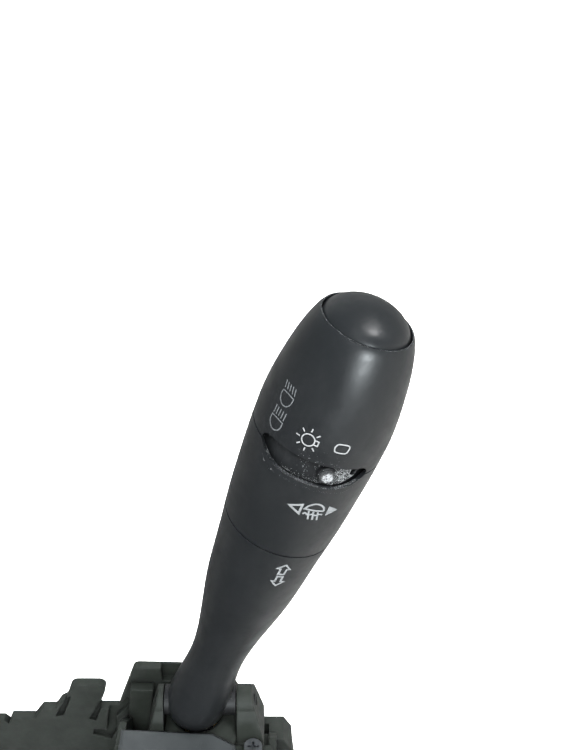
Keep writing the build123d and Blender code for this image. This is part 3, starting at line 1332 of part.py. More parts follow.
PIECES = {
    "stem_shell": make_stem_shell(),
    "lever_core": make_lever_core(),
    "index_collar": make_index_collar(),
    "index_dot": make_index_dot(),
    "fog_contact_board": make_contact_disc(FOG_BOARD_W),
    "light_contact_board": make_contact_disc(LIGHT_BOARD_W),
    "lead_strips": make_lead_strips(),
    "knob_retainer": make_knob_retainer(),
    "horn_contact": make_horn_contact(),
    "fog_ring": make_fog_ring(),
    "fog_wiper": make_wiper(RING_WEB_W + RING_WEB, FOG_BOARD_W - MOVING),
    "light_knob": make_light_knob(),
    "light_wiper": make_wiper(KNOB_WEB_W, LIGHT_BOARD_W + BOARD_THICKNESS + MOVING),
    "horn_button": make_horn_button(),
    "horn_bridge": make_horn_bridge(),
    "horn_spring": make_coil(
        HORN_SPRING_R,
        HORN_SPRING_HIGH_W - HORN_SPRING_LOW_W,
        HORN_TURNS,
        station(HORN_SPRING_LOW_W),
    ),
    "swivel_yoke": make_swivel_yoke(),
    "flash_pin": make_flash_pin(),
    "case_body": make_case_body(),
    "lever_housing": make_lever_housing(),
    "front_cover": make_front_cover(),
    "rear_cover": make_rear_cover(),
    "cover_screws": make_cover_screws(),
    "detent_cam": make_detent_cam(),
    "circuit_board": make_circuit_board(),
    "connector_shroud": make_connector_shroud(),
    "terminal_blades": make_terminal_blades(),
    "turn_contact_plate": make_turn_contact_plate(),
    "mounting_bracket": make_mounting_bracket(),
    "bracket_rivets": make_bracket_rivets(),
    "turn_slider": make_turn_slider(),
    "turn_wiper": make_turn_wiper(),
    "flash_slider": make_flash_slider(),
    "flash_wiper": make_flash_wiper(),
    "detent_plunger": make_detent_plunger(),
    "detent_spring": make_coil(
        PLUNGER_R - WIRE / 2 - RUNNING,
        PLUNGER_BORE - PLUNGER_LENGTH,
        DETENT_TURNS,
        level(0, 0, PLUNGER_TIP_Z + PLUNGER_LENGTH),
    ),
    "cancel_pawl": make_cancel_pawl(),
    "pawl_pin": make_pawl_pin(),
    "pawl_spring": make_pawl_spring(),
}

for name, piece in PIECES.items():
    piece.part.label = name
    export_step(piece.part, f"parts/{name}.step")
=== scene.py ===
import json
import math
import random

import bmesh
import bpy
from mathutils import Euler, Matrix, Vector
from mathutils.bvhtree import BVHTree
from mathutils.geometry import tessellate_polygon


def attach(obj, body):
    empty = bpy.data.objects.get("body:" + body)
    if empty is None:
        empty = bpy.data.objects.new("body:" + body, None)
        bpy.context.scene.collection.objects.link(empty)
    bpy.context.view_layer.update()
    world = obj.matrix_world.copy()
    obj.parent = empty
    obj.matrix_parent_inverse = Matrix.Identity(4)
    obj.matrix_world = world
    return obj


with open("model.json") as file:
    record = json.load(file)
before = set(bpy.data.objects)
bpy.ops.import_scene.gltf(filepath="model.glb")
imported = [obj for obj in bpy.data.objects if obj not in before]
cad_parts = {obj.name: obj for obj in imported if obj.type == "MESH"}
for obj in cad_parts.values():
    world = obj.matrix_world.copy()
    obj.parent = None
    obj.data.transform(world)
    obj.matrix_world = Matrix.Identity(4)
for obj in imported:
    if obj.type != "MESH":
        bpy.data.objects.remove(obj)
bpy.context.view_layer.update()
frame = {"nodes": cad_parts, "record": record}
NODES = frame["nodes"]
MM = 0.001

# the stalk's own coordinates: w along its axis from the pivot in mm, angle round it in degrees
# from the driver's side, and for symbols t, the arc length round it in mm
LEAN = math.radians(18.6)
PIVOT = Vector((0, 0, 51 * MM))
ALONG = Vector((math.sin(LEAN), 0, math.cos(LEAN)))
ACROSS = Vector((math.cos(LEAN), 0, -math.sin(LEAN)))
OUTSIDE = 0.03  # further from the stalk's axis than any of its surfaces


def radial(angle):
    """The direction straight out from the stalk's axis at an angle."""
    turn = math.radians(angle)
    return ACROSS * math.sin(turn) + Vector((0, -math.cos(turn), 0))


def tree(*names):
    """One search tree over several CAD nodes."""
    points = []
    faces = []
    for name in names:
        mesh = NODES[name].data
        start = len(points)
        points += [v.co.copy() for v in mesh.vertices]
        faces += [[start + i for i in p.vertices] for p in mesh.polygons]
    return BVHTree.FromPolygons(points, faces)


def on_surface(surface, w, angle, lift):
    """The point lift mm above the place where a line towards the axis first meets the surface."""
    out = radial(angle)
    hit, normal, _, _ = surface.ray_cast(PIVOT + ALONG * (w * MM) + out * OUTSIDE, -out)
    if normal.dot(out) < 0:
        normal = -normal
    return hit + normal * (lift * MM)


def piece_from(mesh, name, material):
    """An object in the scene made of a finished bmesh."""
    data = bpy.data.meshes.new(name)
    mesh.to_mesh(data)
    mesh.free()
    data.materials.append(material)
    made = bpy.data.objects.new(name, data)
    bpy.context.scene.collection.objects.link(made)
    return made


# ================================ materials ====================================================
BEVEL_SAMPLES = 6
HOLLOW_SAMPLES = 8
OPEN_SKY = (0.35, 0.95)  # ambient occlusion of a deep groove and of an open face, the ends of the painted hollow shade
CLOUDY = (0.35, 0.65)  # span of noise over which a tone changes
GRAINY = (0.3, 0.7)  # span of noise over which a roughness changes
PEG_MIDDLE = PIVOT + ALONG * (96.5 * MM) + radial(7.6) * (14.6 * MM)
MIX_A, MIX_B, MIX_RESULT = 6, 7, 2  # the colour sockets of a Mix node


class Shader:
    """A node material with one Principled shader and small helpers to build its inputs."""

    def __init__(self, name, metallic=0.0, ior=1.5):
        self.material = bpy.data.materials.new(name)
        self.material.use_nodes = True
        self.tree = self.material.node_tree
        self.shader = self.tree.nodes["Principled BSDF"]
        self.shader.inputs["Metallic"].default_value = metallic
        self.shader.inputs["IOR"].default_value = ior
        self.place = self.node("ShaderNodeTexCoord").outputs["Object"]

    def node(self, kind, **values):
        made = self.tree.nodes.new(kind)
        for key, value in values.items():
            setattr(made, key, value)
        return made

    def join(self, source, target):
        self.tree.links.new(source, target)

    def noise(self, size_mm, detail=3.0, roughness=0.55):
        """Noise whose features are about size_mm across."""
        made = self.node("ShaderNodeTexNoise")
        made.inputs["Scale"].default_value = 1000.0 / size_mm
        made.inputs["Detail"].default_value = detail
        made.inputs["Roughness"].default_value = roughness
        self.join(self.place, made.inputs["Vector"])
        return made.outputs["Fac"]

    def cells(self, size_mm, feature="F1"):
        """Distance from the middle of cells about size_mm across."""
        made = self.node("ShaderNodeTexVoronoi", feature=feature)
        made.inputs["Scale"].default_value = 1000.0 / size_mm
        self.join(self.place, made.inputs["Vector"])
        return made.outputs["Distance"]

    def spread(self, source, low, high, out_low=0.0, out_high=1.0):
        """Maps low..high of the source onto out_low..out_high and clamps the rest."""
        made = self.node("ShaderNodeMapRange")
        made.inputs["From Min"].default_value = low
        made.inputs["From Max"].default_value = high
        made.inputs["To Min"].default_value = out_low
        made.inputs["To Max"].default_value = out_high
        self.join(source, made.inputs["Value"])
        return made.outputs["Result"]

    def math(self, operation, a, b):
        """A Math node on two values, each a number or a socket."""
        made = self.node("ShaderNodeMath", operation=operation)
        for socket, value in zip(made.inputs, (a, b)):
            if isinstance(value, (int, float)):
                socket.default_value = value
            else:
                self.join(value, socket)
        return made.outputs["Value"]

    def mix(self, factor, a, b):
        """From a to b as factor goes from 0 to 1, each a colour or a socket."""
        made = self.node("ShaderNodeMix", data_type="RGBA")
        self.join(factor, made.inputs["Factor"])
        for index, value in ((MIX_A, a), (MIX_B, b)):
            if isinstance(value, tuple):
                made.inputs[index].default_value = (*value, 1.0)
            else:
                self.join(value, made.inputs[index])
        return made.outputs[MIX_RESULT]

    def rounded(self, radius_mm):
        """The normal as if edges and corners were rounded."""
        bevel = self.node("ShaderNodeBevel", samples=BEVEL_SAMPLES)
        bevel.inputs["Radius"].default_value = radius_mm * MM
        return bevel.outputs["Normal"]

    def edges(self, radius_mm, low, high):
        """0 where the rounded normal agrees with the real one by low or more, 1 at high or less."""
        flat = self.node("ShaderNodeNewGeometry")
        dot = self.node("ShaderNodeVectorMath", operation="DOT_PRODUCT")
        self.join(self.rounded(radius_mm), dot.inputs[0])
        self.join(flat.outputs["Normal"], dot.inputs[1])
        return self.spread(dot.outputs["Value"], low, high)

    def painted_hollow_shade(self, reach_mm, low):
        """Painted shade: 1 in the open, down to low in grooves and corners, from their ambient
        occlusion.
        """
        made = self.node("ShaderNodeAmbientOcclusion", samples=HOLLOW_SAMPLES)
        made.inputs["Distance"].default_value = reach_mm * MM
        return self.spread(made.outputs["AO"], *OPEN_SKY, low, 1.0)

    def dim(self, tone, factor):
        """The tone times a factor."""
        made = self.node("ShaderNodeVectorMath", operation="SCALE")
        self.join(tone, made.inputs[0])
        self.join(factor, made.inputs["Scale"])
        return made.outputs["Vector"]

    def colour(self, source):
        self.join(source, self.shader.inputs["Base Color"])

    def roughness(self, source):
        self.join(source, self.shader.inputs["Roughness"])

    def bump(self, *layers, bevel_mm=None):
        """Stacks (height, strength, depth in mm) layers of bump on each other."""
        normal = self.rounded(bevel_mm) if bevel_mm else None
        for height, strength, depth in layers:
            made = self.node("ShaderNodeBump")
            made.inputs["Strength"].default_value = strength
            made.inputs["Distance"].default_value = depth * MM
            self.join(height, made.inputs["Height"])
            if normal:
                self.join(normal, made.inputs["Normal"])
            normal = made.outputs["Normal"]
        self.join(normal, self.shader.inputs["Normal"])


def satin_plastic(name, dark, light, rough, grain_mm, grain_depth):
    """Moulded black plastic: fine grain, faint cloudy tone and smooth handled patches."""
    s = Shader(name, ior=1.46)
    s.colour(s.mix(s.spread(s.noise(14.0, 4.0), *CLOUDY), dark, light))
    # stays above 0.29: where it was lower, the denoised render had dark specks
    smudge = s.spread(s.noise(6.0, 3.0, 0.6), 0.35, 0.7, rough - 0.05, rough + 0.08)
    fine = s.spread(s.noise(1.4, 3.0), *GRAINY, -0.025, 0.025)
    s.roughness(s.math("ADD", smudge, fine))
    s.bump((s.noise(grain_mm, 1.0), 0.35, grain_depth), (s.noise(7.0, 2.0), 0.2, 0.05))
    return s.material


def spark_plastic(name, dark, light, rough):
    """Rougher housing plastic: spark-eroded, paler on its edges, dusty, with painted shade
    darkening its hollows.
    """
    s = Shader(name, ior=1.38)
    tone = s.mix(s.spread(s.noise(9.0, 5.0, 0.6), *CLOUDY), dark, light)
    rubbed = s.spread(s.noise(1.6, 5.0), 0.45, 0.8, 0.0, 0.5)
    wear = s.math("MULTIPLY", s.edges(0.5, 0.98, 0.82), rubbed)
    tone = s.mix(wear, tone, (0.055, 0.06, 0.057))
    grains = s.spread(s.noise(0.45, 3.0, 0.7), 0.62, 0.74)
    drifts = s.spread(s.noise(5.0, 3.0), 0.5, 0.7)
    tone = s.mix(s.math("MULTIPLY", grains, drifts), tone, (0.06, 0.062, 0.06))
    # painted shade: the tone is darkened in grooves, slots, pockets and corners by their ambient
    # occlusion
    s.colour(s.dim(tone, s.painted_hollow_shade(3.5, 0.3)))
    s.roughness(s.spread(s.noise(3.0, 6.0), *GRAINY, rough - 0.06, rough + 0.1))
    s.bump(
        (s.cells(0.42, "SMOOTH_F1"), 0.3, 0.03),
        (s.noise(0.3, 2.0), 0.25, 0.02),
        bevel_mm=0.7,
    )
    return s.material


def metal(name, dark, light, rough):
    """Plain rolled or turned metal."""
    s = Shader(name, metallic=1.0)
    s.colour(s.mix(s.spread(s.noise(3.0, 5.0), *CLOUDY), dark, light))
    s.roughness(s.spread(s.noise(0.6, 4.0), *GRAINY, rough - 0.08, rough + 0.12))
    s.bump((s.noise(0.25, 2.0), 0.2, 0.015), bevel_mm=0.1)
    return s.material


def zinc_steel(name):
    """Galvanised sheet: crystalline spangle, dull grey, a little handling dirt."""
    s = Shader(name, metallic=0.85)
    spangle = s.cells(2.4)
    tone = s.mix(s.spread(spangle, 0.1, 0.8), (0.42, 0.43, 0.44), (0.6, 0.61, 0.62))
    s.colour(s.mix(s.spread(s.noise(7.0, 5.0), 0.5, 0.75), tone, (0.3, 0.3, 0.29)))
    s.roughness(s.spread(spangle, 0.1, 0.8, 0.32, 0.5))
    s.bump((spangle, 0.1, 0.02), (s.noise(0.5, 3.0), 0.15, 0.02), bevel_mm=0.25)
    return s.material


def board(name):
    """Green laminate: woven glass under the lacquer."""
    s = Shader(name, ior=1.5)
    weave = s.node("ShaderNodeTexChecker")
    weave.inputs["Scale"].default_value = 1600.0
    s.join(s.place, weave.inputs["Vector"])
    cloud = s.noise(4.0, 3.0)
    tone = s.mix(s.spread(cloud, *CLOUDY), (0.012, 0.075, 0.03), (0.02, 0.11, 0.045))
    s.colour(s.mix(s.math("MULTIPLY", weave.outputs["Fac"], 0.25), tone, (0.035, 0.15, 0.07)))
    s.roughness(s.spread(cloud, *GRAINY, 0.25, 0.4))
    s.bump((s.noise(0.8, 2.0), 0.2, 0.02))
    return s.material


def nylon(name):
    """Natural white nylon, slightly translucent."""
    s = Shader(name, ior=1.48)
    s.shader.inputs["Subsurface Weight"].default_value = 0.15
    s.shader.inputs["Subsurface Scale"].default_value = 1.5 * MM
    s.colour(s.mix(s.spread(s.noise(5.0, 4.0), *CLOUDY), (0.6, 0.58, 0.5), (0.7, 0.68, 0.61)))
    s.roughness(s.spread(s.noise(1.5, 4.0), *GRAINY, 0.35, 0.5))
    s.bump((s.noise(0.7, 3.0), 0.2, 0.02), bevel_mm=0.15)
    return s.material


def print_ink(name, white, worn, keep):
    """White print or dust: white where the noise stays below keep, worn in patches above it."""
    s = Shader(name, ior=1.5)
    broken = s.spread(s.noise(0.32, 4.0, 0.65), keep, keep + 0.08)
    patch = s.spread(s.noise(1.1, 2.0), *GRAINY, 0.6, 1.0)
    s.colour(s.mix(s.math("MULTIPLY", broken, patch), white, worn))
    s.roughness(s.spread(s.noise(0.4, 3.0), *GRAINY, 0.45, 0.65))
    s.bump((s.noise(0.25, 2.0), 0.3, 0.01))
    return s.material


def peg_paint(name):
    """White paint on the index peg, flaked away towards its rim."""
    s = Shader(name, ior=1.5)
    reach = s.node("ShaderNodeVectorMath", operation="DISTANCE")
    s.join(s.place, reach.inputs[0])
    reach.inputs[1].default_value = PEG_MIDDLE
    ragged = s.spread(s.noise(0.7, 5.0, 0.7), *GRAINY, -0.5 * MM, 0.5 * MM)
    rim = s.math("ADD", reach.outputs["Value"], ragged)
    whole = s.spread(rim, 0.9 * MM, 1.35 * MM, 1.0, 0.0)
    flaws = s.spread(s.noise(0.4, 4.0, 0.7), 0.4, 0.52)
    chips = s.spread(s.noise(0.22, 3.0, 0.7), 0.6, 0.66)
    paint = s.math("MAXIMUM", s.math("MULTIPLY", whole, flaws), s.math("MULTIPLY", chips, 0.5))
    s.colour(s.mix(paint, (0.012, 0.013, 0.014), (0.25, 0.265, 0.275)))
    s.roughness(s.spread(s.noise(0.4, 3.0), *GRAINY, 0.4, 0.65))
    s.bump((paint, 0.5, 0.03))
    return s.material


SATIN = ((0.0065, 0.0075, 0.0085), (0.0085, 0.0095, 0.0105))
CORE = ((0.006, 0.0065, 0.007), (0.009, 0.0095, 0.01))
# the collar's own black plastic, painted paler than the satin: painted light that offsets the shade
# the knob's edge casts into the window
COLLAR_WITH_PAINTED_LIGHT = ((0.0085, 0.0095, 0.0105), (0.012, 0.013, 0.014))
HOUSING = ((0.0125, 0.0148, 0.0129), (0.016, 0.0188, 0.0165))
COVER = ((0.022, 0.025, 0.0265), (0.029, 0.0325, 0.034))
# the finish of each material slot in the record
MATERIALS = {
    "black_satin": satin_plastic("satin_black", *SATIN, 0.37, 1.1, 0.02),
    "black_core": satin_plastic("core_black", *CORE, 0.5, 1.0, 0.02),
    "black_matte": spark_plastic("collar_black", *COLLAR_WITH_PAINTED_LIGHT, 0.42),
    "white_mark": peg_paint("mark_white"),
    "board": board("board_green"),
    "brass": metal("brass", (0.55, 0.4, 0.16), (0.72, 0.55, 0.26), 0.32),
    "spring_steel": metal("spring_steel", (0.4, 0.4, 0.41), (0.52, 0.52, 0.53), 0.3),
    "grey_black": spark_plastic("housing_black", *HOUSING, 0.6),
    "steel": metal("steel", (0.2, 0.21, 0.225), (0.3, 0.31, 0.33), 0.42),
    "cover_grey": spark_plastic("cover_grey", *COVER, 0.5),
    "natural_nylon": nylon("nylon"),
    "tinned": metal("tinned", (0.6, 0.6, 0.58), (0.72, 0.72, 0.7), 0.28),
    "zinc_steel": zinc_steel("zinc_steel"),
}
INK = print_ink("ink_white", (0.19, 0.2, 0.205), (0.07, 0.075, 0.08), 0.6)
INK_SOFT = print_ink("ink_soft", (0.14, 0.15, 0.155), (0.055, 0.06, 0.065), 0.58)
INK_THIN = print_ink("ink_thin", (0.085, 0.092, 0.097), (0.03, 0.032, 0.034), 0.56)
DUST = print_ink("dust_chips", (0.22, 0.235, 0.24), (0.09, 0.095, 0.1), 0.5)
PIN_BLACK = metal("black_oxide", (0.03, 0.031, 0.033), (0.045, 0.046, 0.05), 0.5)

for part in frame["record"]["subparts"]:
    node = NODES[part["node"]]
    node.data.materials.clear()
    node.data.materials.append(MATERIALS[part["material_slot"]])
    for polygon in node.data.polygons:
        polygon.material_index = 0
NODES["flash_pin"].data.materials[0] = PIN_BLACK


# ================================ symbols printed on the stalk =================================
MITRE_LIMIT = 0.5  # least cosine by which a sharp corner is widened
LONGEST_EDGE = 0.35  # of the flat drawing, mm, so that it bends with the surface
CUT_ROUNDS = 4
INK_LIFT = 0.02  # mm above the surface
FACE_STEP = 0.0004  # mm by which each face of a drawing lies above the one before
INK_THICKNESS = 0.03  # mm
SAME_PLACE = 1e-7  # m, within which two corners are one


def ribbon(points, width, closed=False):
    """Quads along a line of (t, w) points, mitred at the corners."""
    line = [Vector(p) for p in points]
    count = len(line)
    left, right = [], []
    for i, here in enumerate(line):
        before = line[i - 1] if i or closed else None
        after = line[(i + 1) % count] if i < count - 1 or closed else None
        steps = [(b - a).normalized() for a, b in ((before, here), (here, after)) if a and b]
        way = sum(steps, Vector((0, 0))).normalized()
        side = Vector((-way.y, way.x))
        spread = max(MITRE_LIMIT, side.dot(Vector((-steps[0].y, steps[0].x))))
        left.append(here + side * width / 2 / spread)
        right.append(here - side * width / 2 / spread)
    last = count if closed else count - 1
    ends = [(i, (i + 1) % count) for i in range(last)]
    return [(left[i], left[j], right[j], right[i]) for i, j in ends]


def filled(points):
    """Triangles that fill a closed outline of (t, w) points."""
    flat = [Vector((x, y, 0)) for x, y in points]
    return [tuple(Vector(points[i]) for i in face) for face in tessellate_polygon([flat])]


def curve(points, steps=6, closed=True):
    """A smooth line through (t, w) points (Catmull-Rom)."""
    count = len(points)
    line = [Vector(p) for p in points]
    out = []
    for i in range(count if closed else count - 1):
        a, b, c, d = (
            line[j % count] if closed else line[min(max(j, 0), count - 1)]
            for j in (i - 1, i, i + 1, i + 2)
        )
        for k in range(steps):
            s = k / steps
            out.append(
                0.5 * (2 * b + (c - a) * s + (2 * a - 5 * b + 4 * c - d) * s * s
                       + (3 * b - a - 3 * c + d) * s ** 3)
            )
    if not closed:
        out.append(line[-1])
    return out


def from_axis(point):
    """The vector from the stalk's axis straight out to a point."""
    arm = point - PIVOT
    return arm - ALONG * arm.dot(ALONG)


def print_symbol(name, node, body, radius, faces, ink):
    """Lays flat (t, w) faces on the stalk's surface as a thin closed layer of ink."""
    surface = tree(node)
    mesh = bmesh.new()
    for number, face in enumerate(faces):
        mesh.faces.new([mesh.verts.new((t, w, number)) for t, w in face])
    for _ in range(CUT_ROUNDS):
        long_edges = [
            edge
            for edge in mesh.edges
            if (edge.verts[0].co.xy - edge.verts[1].co.xy).length > LONGEST_EDGE
        ]
        if not long_edges:
            break
        bmesh.ops.subdivide_edges(mesh, edges=long_edges, cuts=1, use_grid_fill=True)
    bmesh.ops.triangulate(mesh, faces=[f for f in mesh.faces if len(f.verts) > 4])
    for v in mesh.verts:
        angle = math.degrees(v.co.x / radius)
        v.co = on_surface(surface, v.co.y, angle, INK_LIFT + FACE_STEP * v.co.z)
    bmesh.ops.remove_doubles(mesh, verts=mesh.verts, dist=SAME_PLACE)
    bmesh.ops.recalc_face_normals(mesh, faces=mesh.faces)
    if sum(f.normal.dot(from_axis(f.calc_center_median())) for f in mesh.faces) < 0:
        bmesh.ops.reverse_faces(mesh, faces=mesh.faces)
    symbol = piece_from(mesh, name, ink)
    layer = symbol.modifiers.new("layer", "SOLIDIFY")
    layer.thickness = INK_THICKNESS * MM
    layer.offset = -1.0
    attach(symbol, body)


def round_point(t, w, radius, angle):
    """A point on a circle of the drawing."""
    return t + radius * math.cos(angle), w + radius * math.sin(angle)


def headlamp(centre_t, flat_w, lean, rays_w, stroke):
    """A lamp seen from the side: a D that bulges towards the root, and five rays to the tip."""
    bowl = curve(
        [
            (centre_t - 1.72, flat_w),
            (centre_t - 1.7, flat_w - 1.2),
            (centre_t - 1.1, flat_w - 2.3),
            (centre_t, flat_w - 2.75),
            (centre_t + 1.1, flat_w - 2.3),
            (centre_t + 1.7, flat_w - 1.2),
            (centre_t + 1.72, flat_w),
        ],
        closed=False,
    )
    faces = ribbon(bowl + [Vector((centre_t, flat_w + 0.12))], stroke, closed=True)
    for i in range(5):
        from_middle = i - 2
        x = centre_t + from_middle * 0.8
        start = flat_w + 0.55 + 0.1 * (2 - abs(from_middle))
        faces += ribbon([(x, start), (x - lean, rays_w)], stroke)
    return faces


def side_lamp(t, w, stroke):
    """A round lamp with a base on its right and seven rays."""
    circle = [round_point(t, w, 1.4, math.tau * i / 28) for i in range(28)]
    faces = ribbon(circle, stroke, closed=True)
    near, far, half = t + 1.3, t + 2.2, 0.55
    base = [(near, w + half), (far, w + half), (far, w - half), (near, w - half)]
    faces += ribbon(base, stroke)
    for i in range(1, 8):
        angle = math.tau * i / 8
        faces += ribbon([round_point(t, w, r, angle) for r in (1.95, 2.8)], stroke)
    return faces


def off_mark(t, w, stroke):
    """A rounded, slightly uneven ring."""
    outline = curve(
        [
            (t - 1.42, w - 0.55),
            (t - 1.5, w + 0.2),
            (t - 1.05, w + 0.95),
            (t - 0.1, w + 1.08),
            (t + 1.1, w + 1.02),
            (t + 1.5, w + 0.6),
            (t + 1.42, w - 0.3),
            (t + 1.1, w - 0.95),
            (t, w - 1.1),
            (t - 1.1, w - 0.98),
        ]
    )
    return ribbon(outline, stroke, closed=True)


def fog_lamp(t, w, stroke):
    """A dome with three rays crossed by a wave, between an open and a filled triangle."""
    dome = curve(
        [
            (t - 2.1, w),
            (t - 1.5, w + 1.1),
            (t - 0.3, w + 1.9),
            (t + 0.9, w + 1.8),
            (t + 1.9, w + 1.0),
            (t + 2.15, w + 0.2),
        ],
        closed=False,
    )
    faces = ribbon(dome + [Vector((t + 2.0, w)), Vector((t, w - 0.05))], stroke, closed=True)
    for x in (-1.05, 0.0, 1.05):
        faces += ribbon([(t + x, w - 0.4), (t + x + 0.6, w - 2.9)], stroke * 0.9)
    wave = curve(
        [
            (t - 2.1, w - 1.6),
            (t - 1.6, w - 1.15),
            (t - 0.9, w - 1.6),
            (t, w - 1.25),
            (t + 0.8, w - 1.5),
            (t + 1.5, w - 1.05),
            (t + 2.3, w - 1.1),
        ],
        steps=4,
        closed=False,
    )
    faces += ribbon(wave, stroke * 0.9)
    open_triangle = [(t - 5.5, w - 0.3), (t - 2.95, w + 0.95), (t - 2.9, w - 1.75)]
    faces += ribbon(open_triangle, stroke * 1.15, closed=True)
    faces += filled([(t + 3.0, w + 1.6), (t + 5.6, w + 0.3), (t + 3.1, w - 1.45)])
    return faces


def turn_arrows(t, w, stroke):
    """Two outlined arrows, one towards the tip and one towards the root."""
    arrow = [
        (0.05, 3.9),
        (1.75, 2.35),
        (0.85, 2.3),
        (0.8, 0.45),
        (-0.75, 0.45),
        (-0.75, 2.3),
        (-1.65, 2.35),
    ]
    up = [(t + x * 0.9, w + y) for x, y in arrow]
    down = [(t + x * 0.9 + 0.1, w - y * 0.97) for x, y in arrow]
    return ribbon(up, stroke, closed=True) + ribbon(down, stroke, closed=True)


# name, node, body, the surface's radius in mm, flat drawing, ink
SYMBOLS = (
    ("symbol_off", "light_knob", "knob", 14.8, off_mark(1.9, 105.0, 0.27), INK),
    ("symbol_side_lamp", "light_knob", "knob", 14.9, side_lamp(-5.3, 104.5, 0.26), INK),
    (
        "symbol_beam_low",
        "light_knob",
        "knob",
        14.9,
        headlamp(-13.5, 104.25, 0.0, 106.7, 0.24),
        INK_THIN,
    ),
    (
        "symbol_beam_high",
        "light_knob",
        "knob",
        14.3,
        headlamp(-13.15, 110.4, 0.45, 112.6, 0.22),
        INK_THIN,
    ),
    ("symbol_fog", "fog_ring", "ring", 14.45, fog_lamp(2.3, 87.1, 0.45), INK_SOFT),
    ("symbol_turn", "stem_shell", "lever", 12.9, turn_arrows(2.4, 64.3, 0.46), INK_SOFT),
)
for row in SYMBOLS:
    print_symbol(*row)


# ================================ seal round the lever's root ==================================
SEAL_STEPS = 48
SEAL_LOW = 43.02
SEAL_X = (-8.6, 10.9)  # between the yoke's ears
SEAL_Y = (-10.3, 6.8)
# radius round the flash pivot and height, up the inside of the dish
SEAL_DISH = ((6.4, SEAL_LOW), (6.45, 44.9), (6.7, 45.35), (7.3, 45.5))
# distance inside the plate's edge and height, out to the edge and down
SEAL_EDGE = ((0.9, 45.1), (0.15, 44.8), (0.0, 44.4), (0.0, SEAL_LOW))
FAR_AWAY = 1e3
ALMOST_ZERO = 1e-6


def to_side(direction, sides, inset):
    """How far along one component of a direction a side of the plate lies, inset included."""
    if abs(direction) <= ALMOST_ZERO:
        return FAR_AWAY
    side = sides[1] if direction > 0 else sides[0]
    return (side - math.copysign(inset, direction)) / direction


def root_seal():
    """A moulded seal on the yoke's bars: a plate between the ears, dished round the bulb."""
    mesh = bmesh.new()
    turns = [math.tau * i / SEAL_STEPS for i in range(SEAL_STEPS)]
    ways = [(math.cos(a), math.sin(a)) for a in turns]

    def ring(height, reaches):
        return [
            mesh.verts.new((x * reach * MM, y * reach * MM, height * MM))
            for (x, y), reach in zip(ways, reaches)
        ]

    rings = [ring(height, [radius] * SEAL_STEPS) for radius, height in SEAL_DISH]
    for inset, height in SEAL_EDGE:
        reaches = [min(to_side(x, SEAL_X, inset), to_side(y, SEAL_Y, inset)) for x, y in ways]
        rings.append(ring(height, reaches))
    rings.append(rings[0])
    for inner, outer in zip(rings, rings[1:]):
        for i in range(SEAL_STEPS):
            j = (i + 1) % SEAL_STEPS
            mesh.faces.new((inner[i], inner[j], outer[j], outer[i]))
    bmesh.ops.recalc_face_normals(mesh, faces=mesh.faces)
    piece = piece_from(mesh, "root_seal", MATERIALS["grey_black"])
    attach(piece, "yoke")


root_seal()


# ================================ dust in the window and round the button ======================
LANDED = 1e-6  # m, within which a chip has landed on its own node
DEEPEST = 0.017  # m that a chip may fall
CHIP_CORNERS = (4, 6)
CHIP_REACH = (0.3, 0.6)  # of its corners from its middle, as shares of its size
CHIP_LIFT = 0.01  # mm of its corners above the surface
CHIP_FOOT = 0.02  # mm of its lowest point below the surface
CHIP_TOP = 0.02  # mm of its highest point above the surface, and CHIP_RISE of its size more
CHIP_RISE = 0.18


def flakes(name, node, body, spots, seed):
    """Small irregular chips of dust, each lying on the node's surface.

    spots: (w, angle, size in mm), dropped towards the stalk's axis, or
    (w, angle, size, radius) in mm, dropped down the stalk from that place.
    """
    surface = tree("light_knob", "fog_ring", "index_collar")
    own = tree(node)
    draw = random.Random(seed)
    mesh = bmesh.new()
    for w, angle, size, *radius in spots:
        out = radial(angle)
        start = PIVOT + ALONG * (w * MM) + out * (radius[0] * MM if radius else OUTSIDE)
        way = -ALONG if radius else -out
        hit, normal, _, _ = surface.ray_cast(start, way)
        mine, _, _, _ = own.ray_cast(start, way)
        if hit is None or mine is None:
            continue
        if (hit - mine).length > LANDED or (hit - start).length > DEEPEST:
            continue
        if normal.dot(way) > 0:
            normal = -normal
        side = normal.orthogonal().normalized()
        other = normal.cross(side)
        corners = draw.randint(*CHIP_CORNERS)
        turn = draw.uniform(0, math.tau)
        ring = []
        for i in range(corners):
            a = turn + math.tau * i / corners
            r = size * draw.uniform(*CHIP_REACH) * MM
            flat = hit + side * math.cos(a) * r + other * math.sin(a) * r
            ring.append(mesh.verts.new(flat + normal * CHIP_LIFT * MM))
        top = mesh.verts.new(hit + normal * (CHIP_TOP + size * CHIP_RISE) * MM)
        low = mesh.verts.new(hit - normal * CHIP_FOOT * MM)
        for i in range(corners):
            mesh.faces.new((ring[i], ring[(i + 1) % corners], top))
            mesh.faces.new((ring[(i + 1) % corners], ring[i], low))
    piece = piece_from(mesh, name, DUST)
    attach(piece, body)


scatter = random.Random(8)
# the scoop's lower edge: level over SCOOP_LEVEL degrees each way from its middle, then rising
SCOOP_LOW = 93.0
SCOOP_MIDDLE = -8.5
SCOOP_LEVEL = 32
SCOOP_RISE = 4.2  # mm over the first SCOOP_SPAN degrees of the rise
SCOOP_SPAN = 20
# how many chips are tried in each place
THICK_TRIES, BAND_TRIES, STRAY_TRIES = 1300, 520, 40
RIM_TRIES, BELOW_TRIES = 1300, 60
GAP_TRIES = 520
# angles in degrees
THICK_ANGLES = (11.5, 37)
BAND_ANGLES = (-52, 6)
STRAY_ANGLES = (-22, 2)
RIM_ANGLES = (-56, 38)
BELOW_ANGLES = (-54, 36)
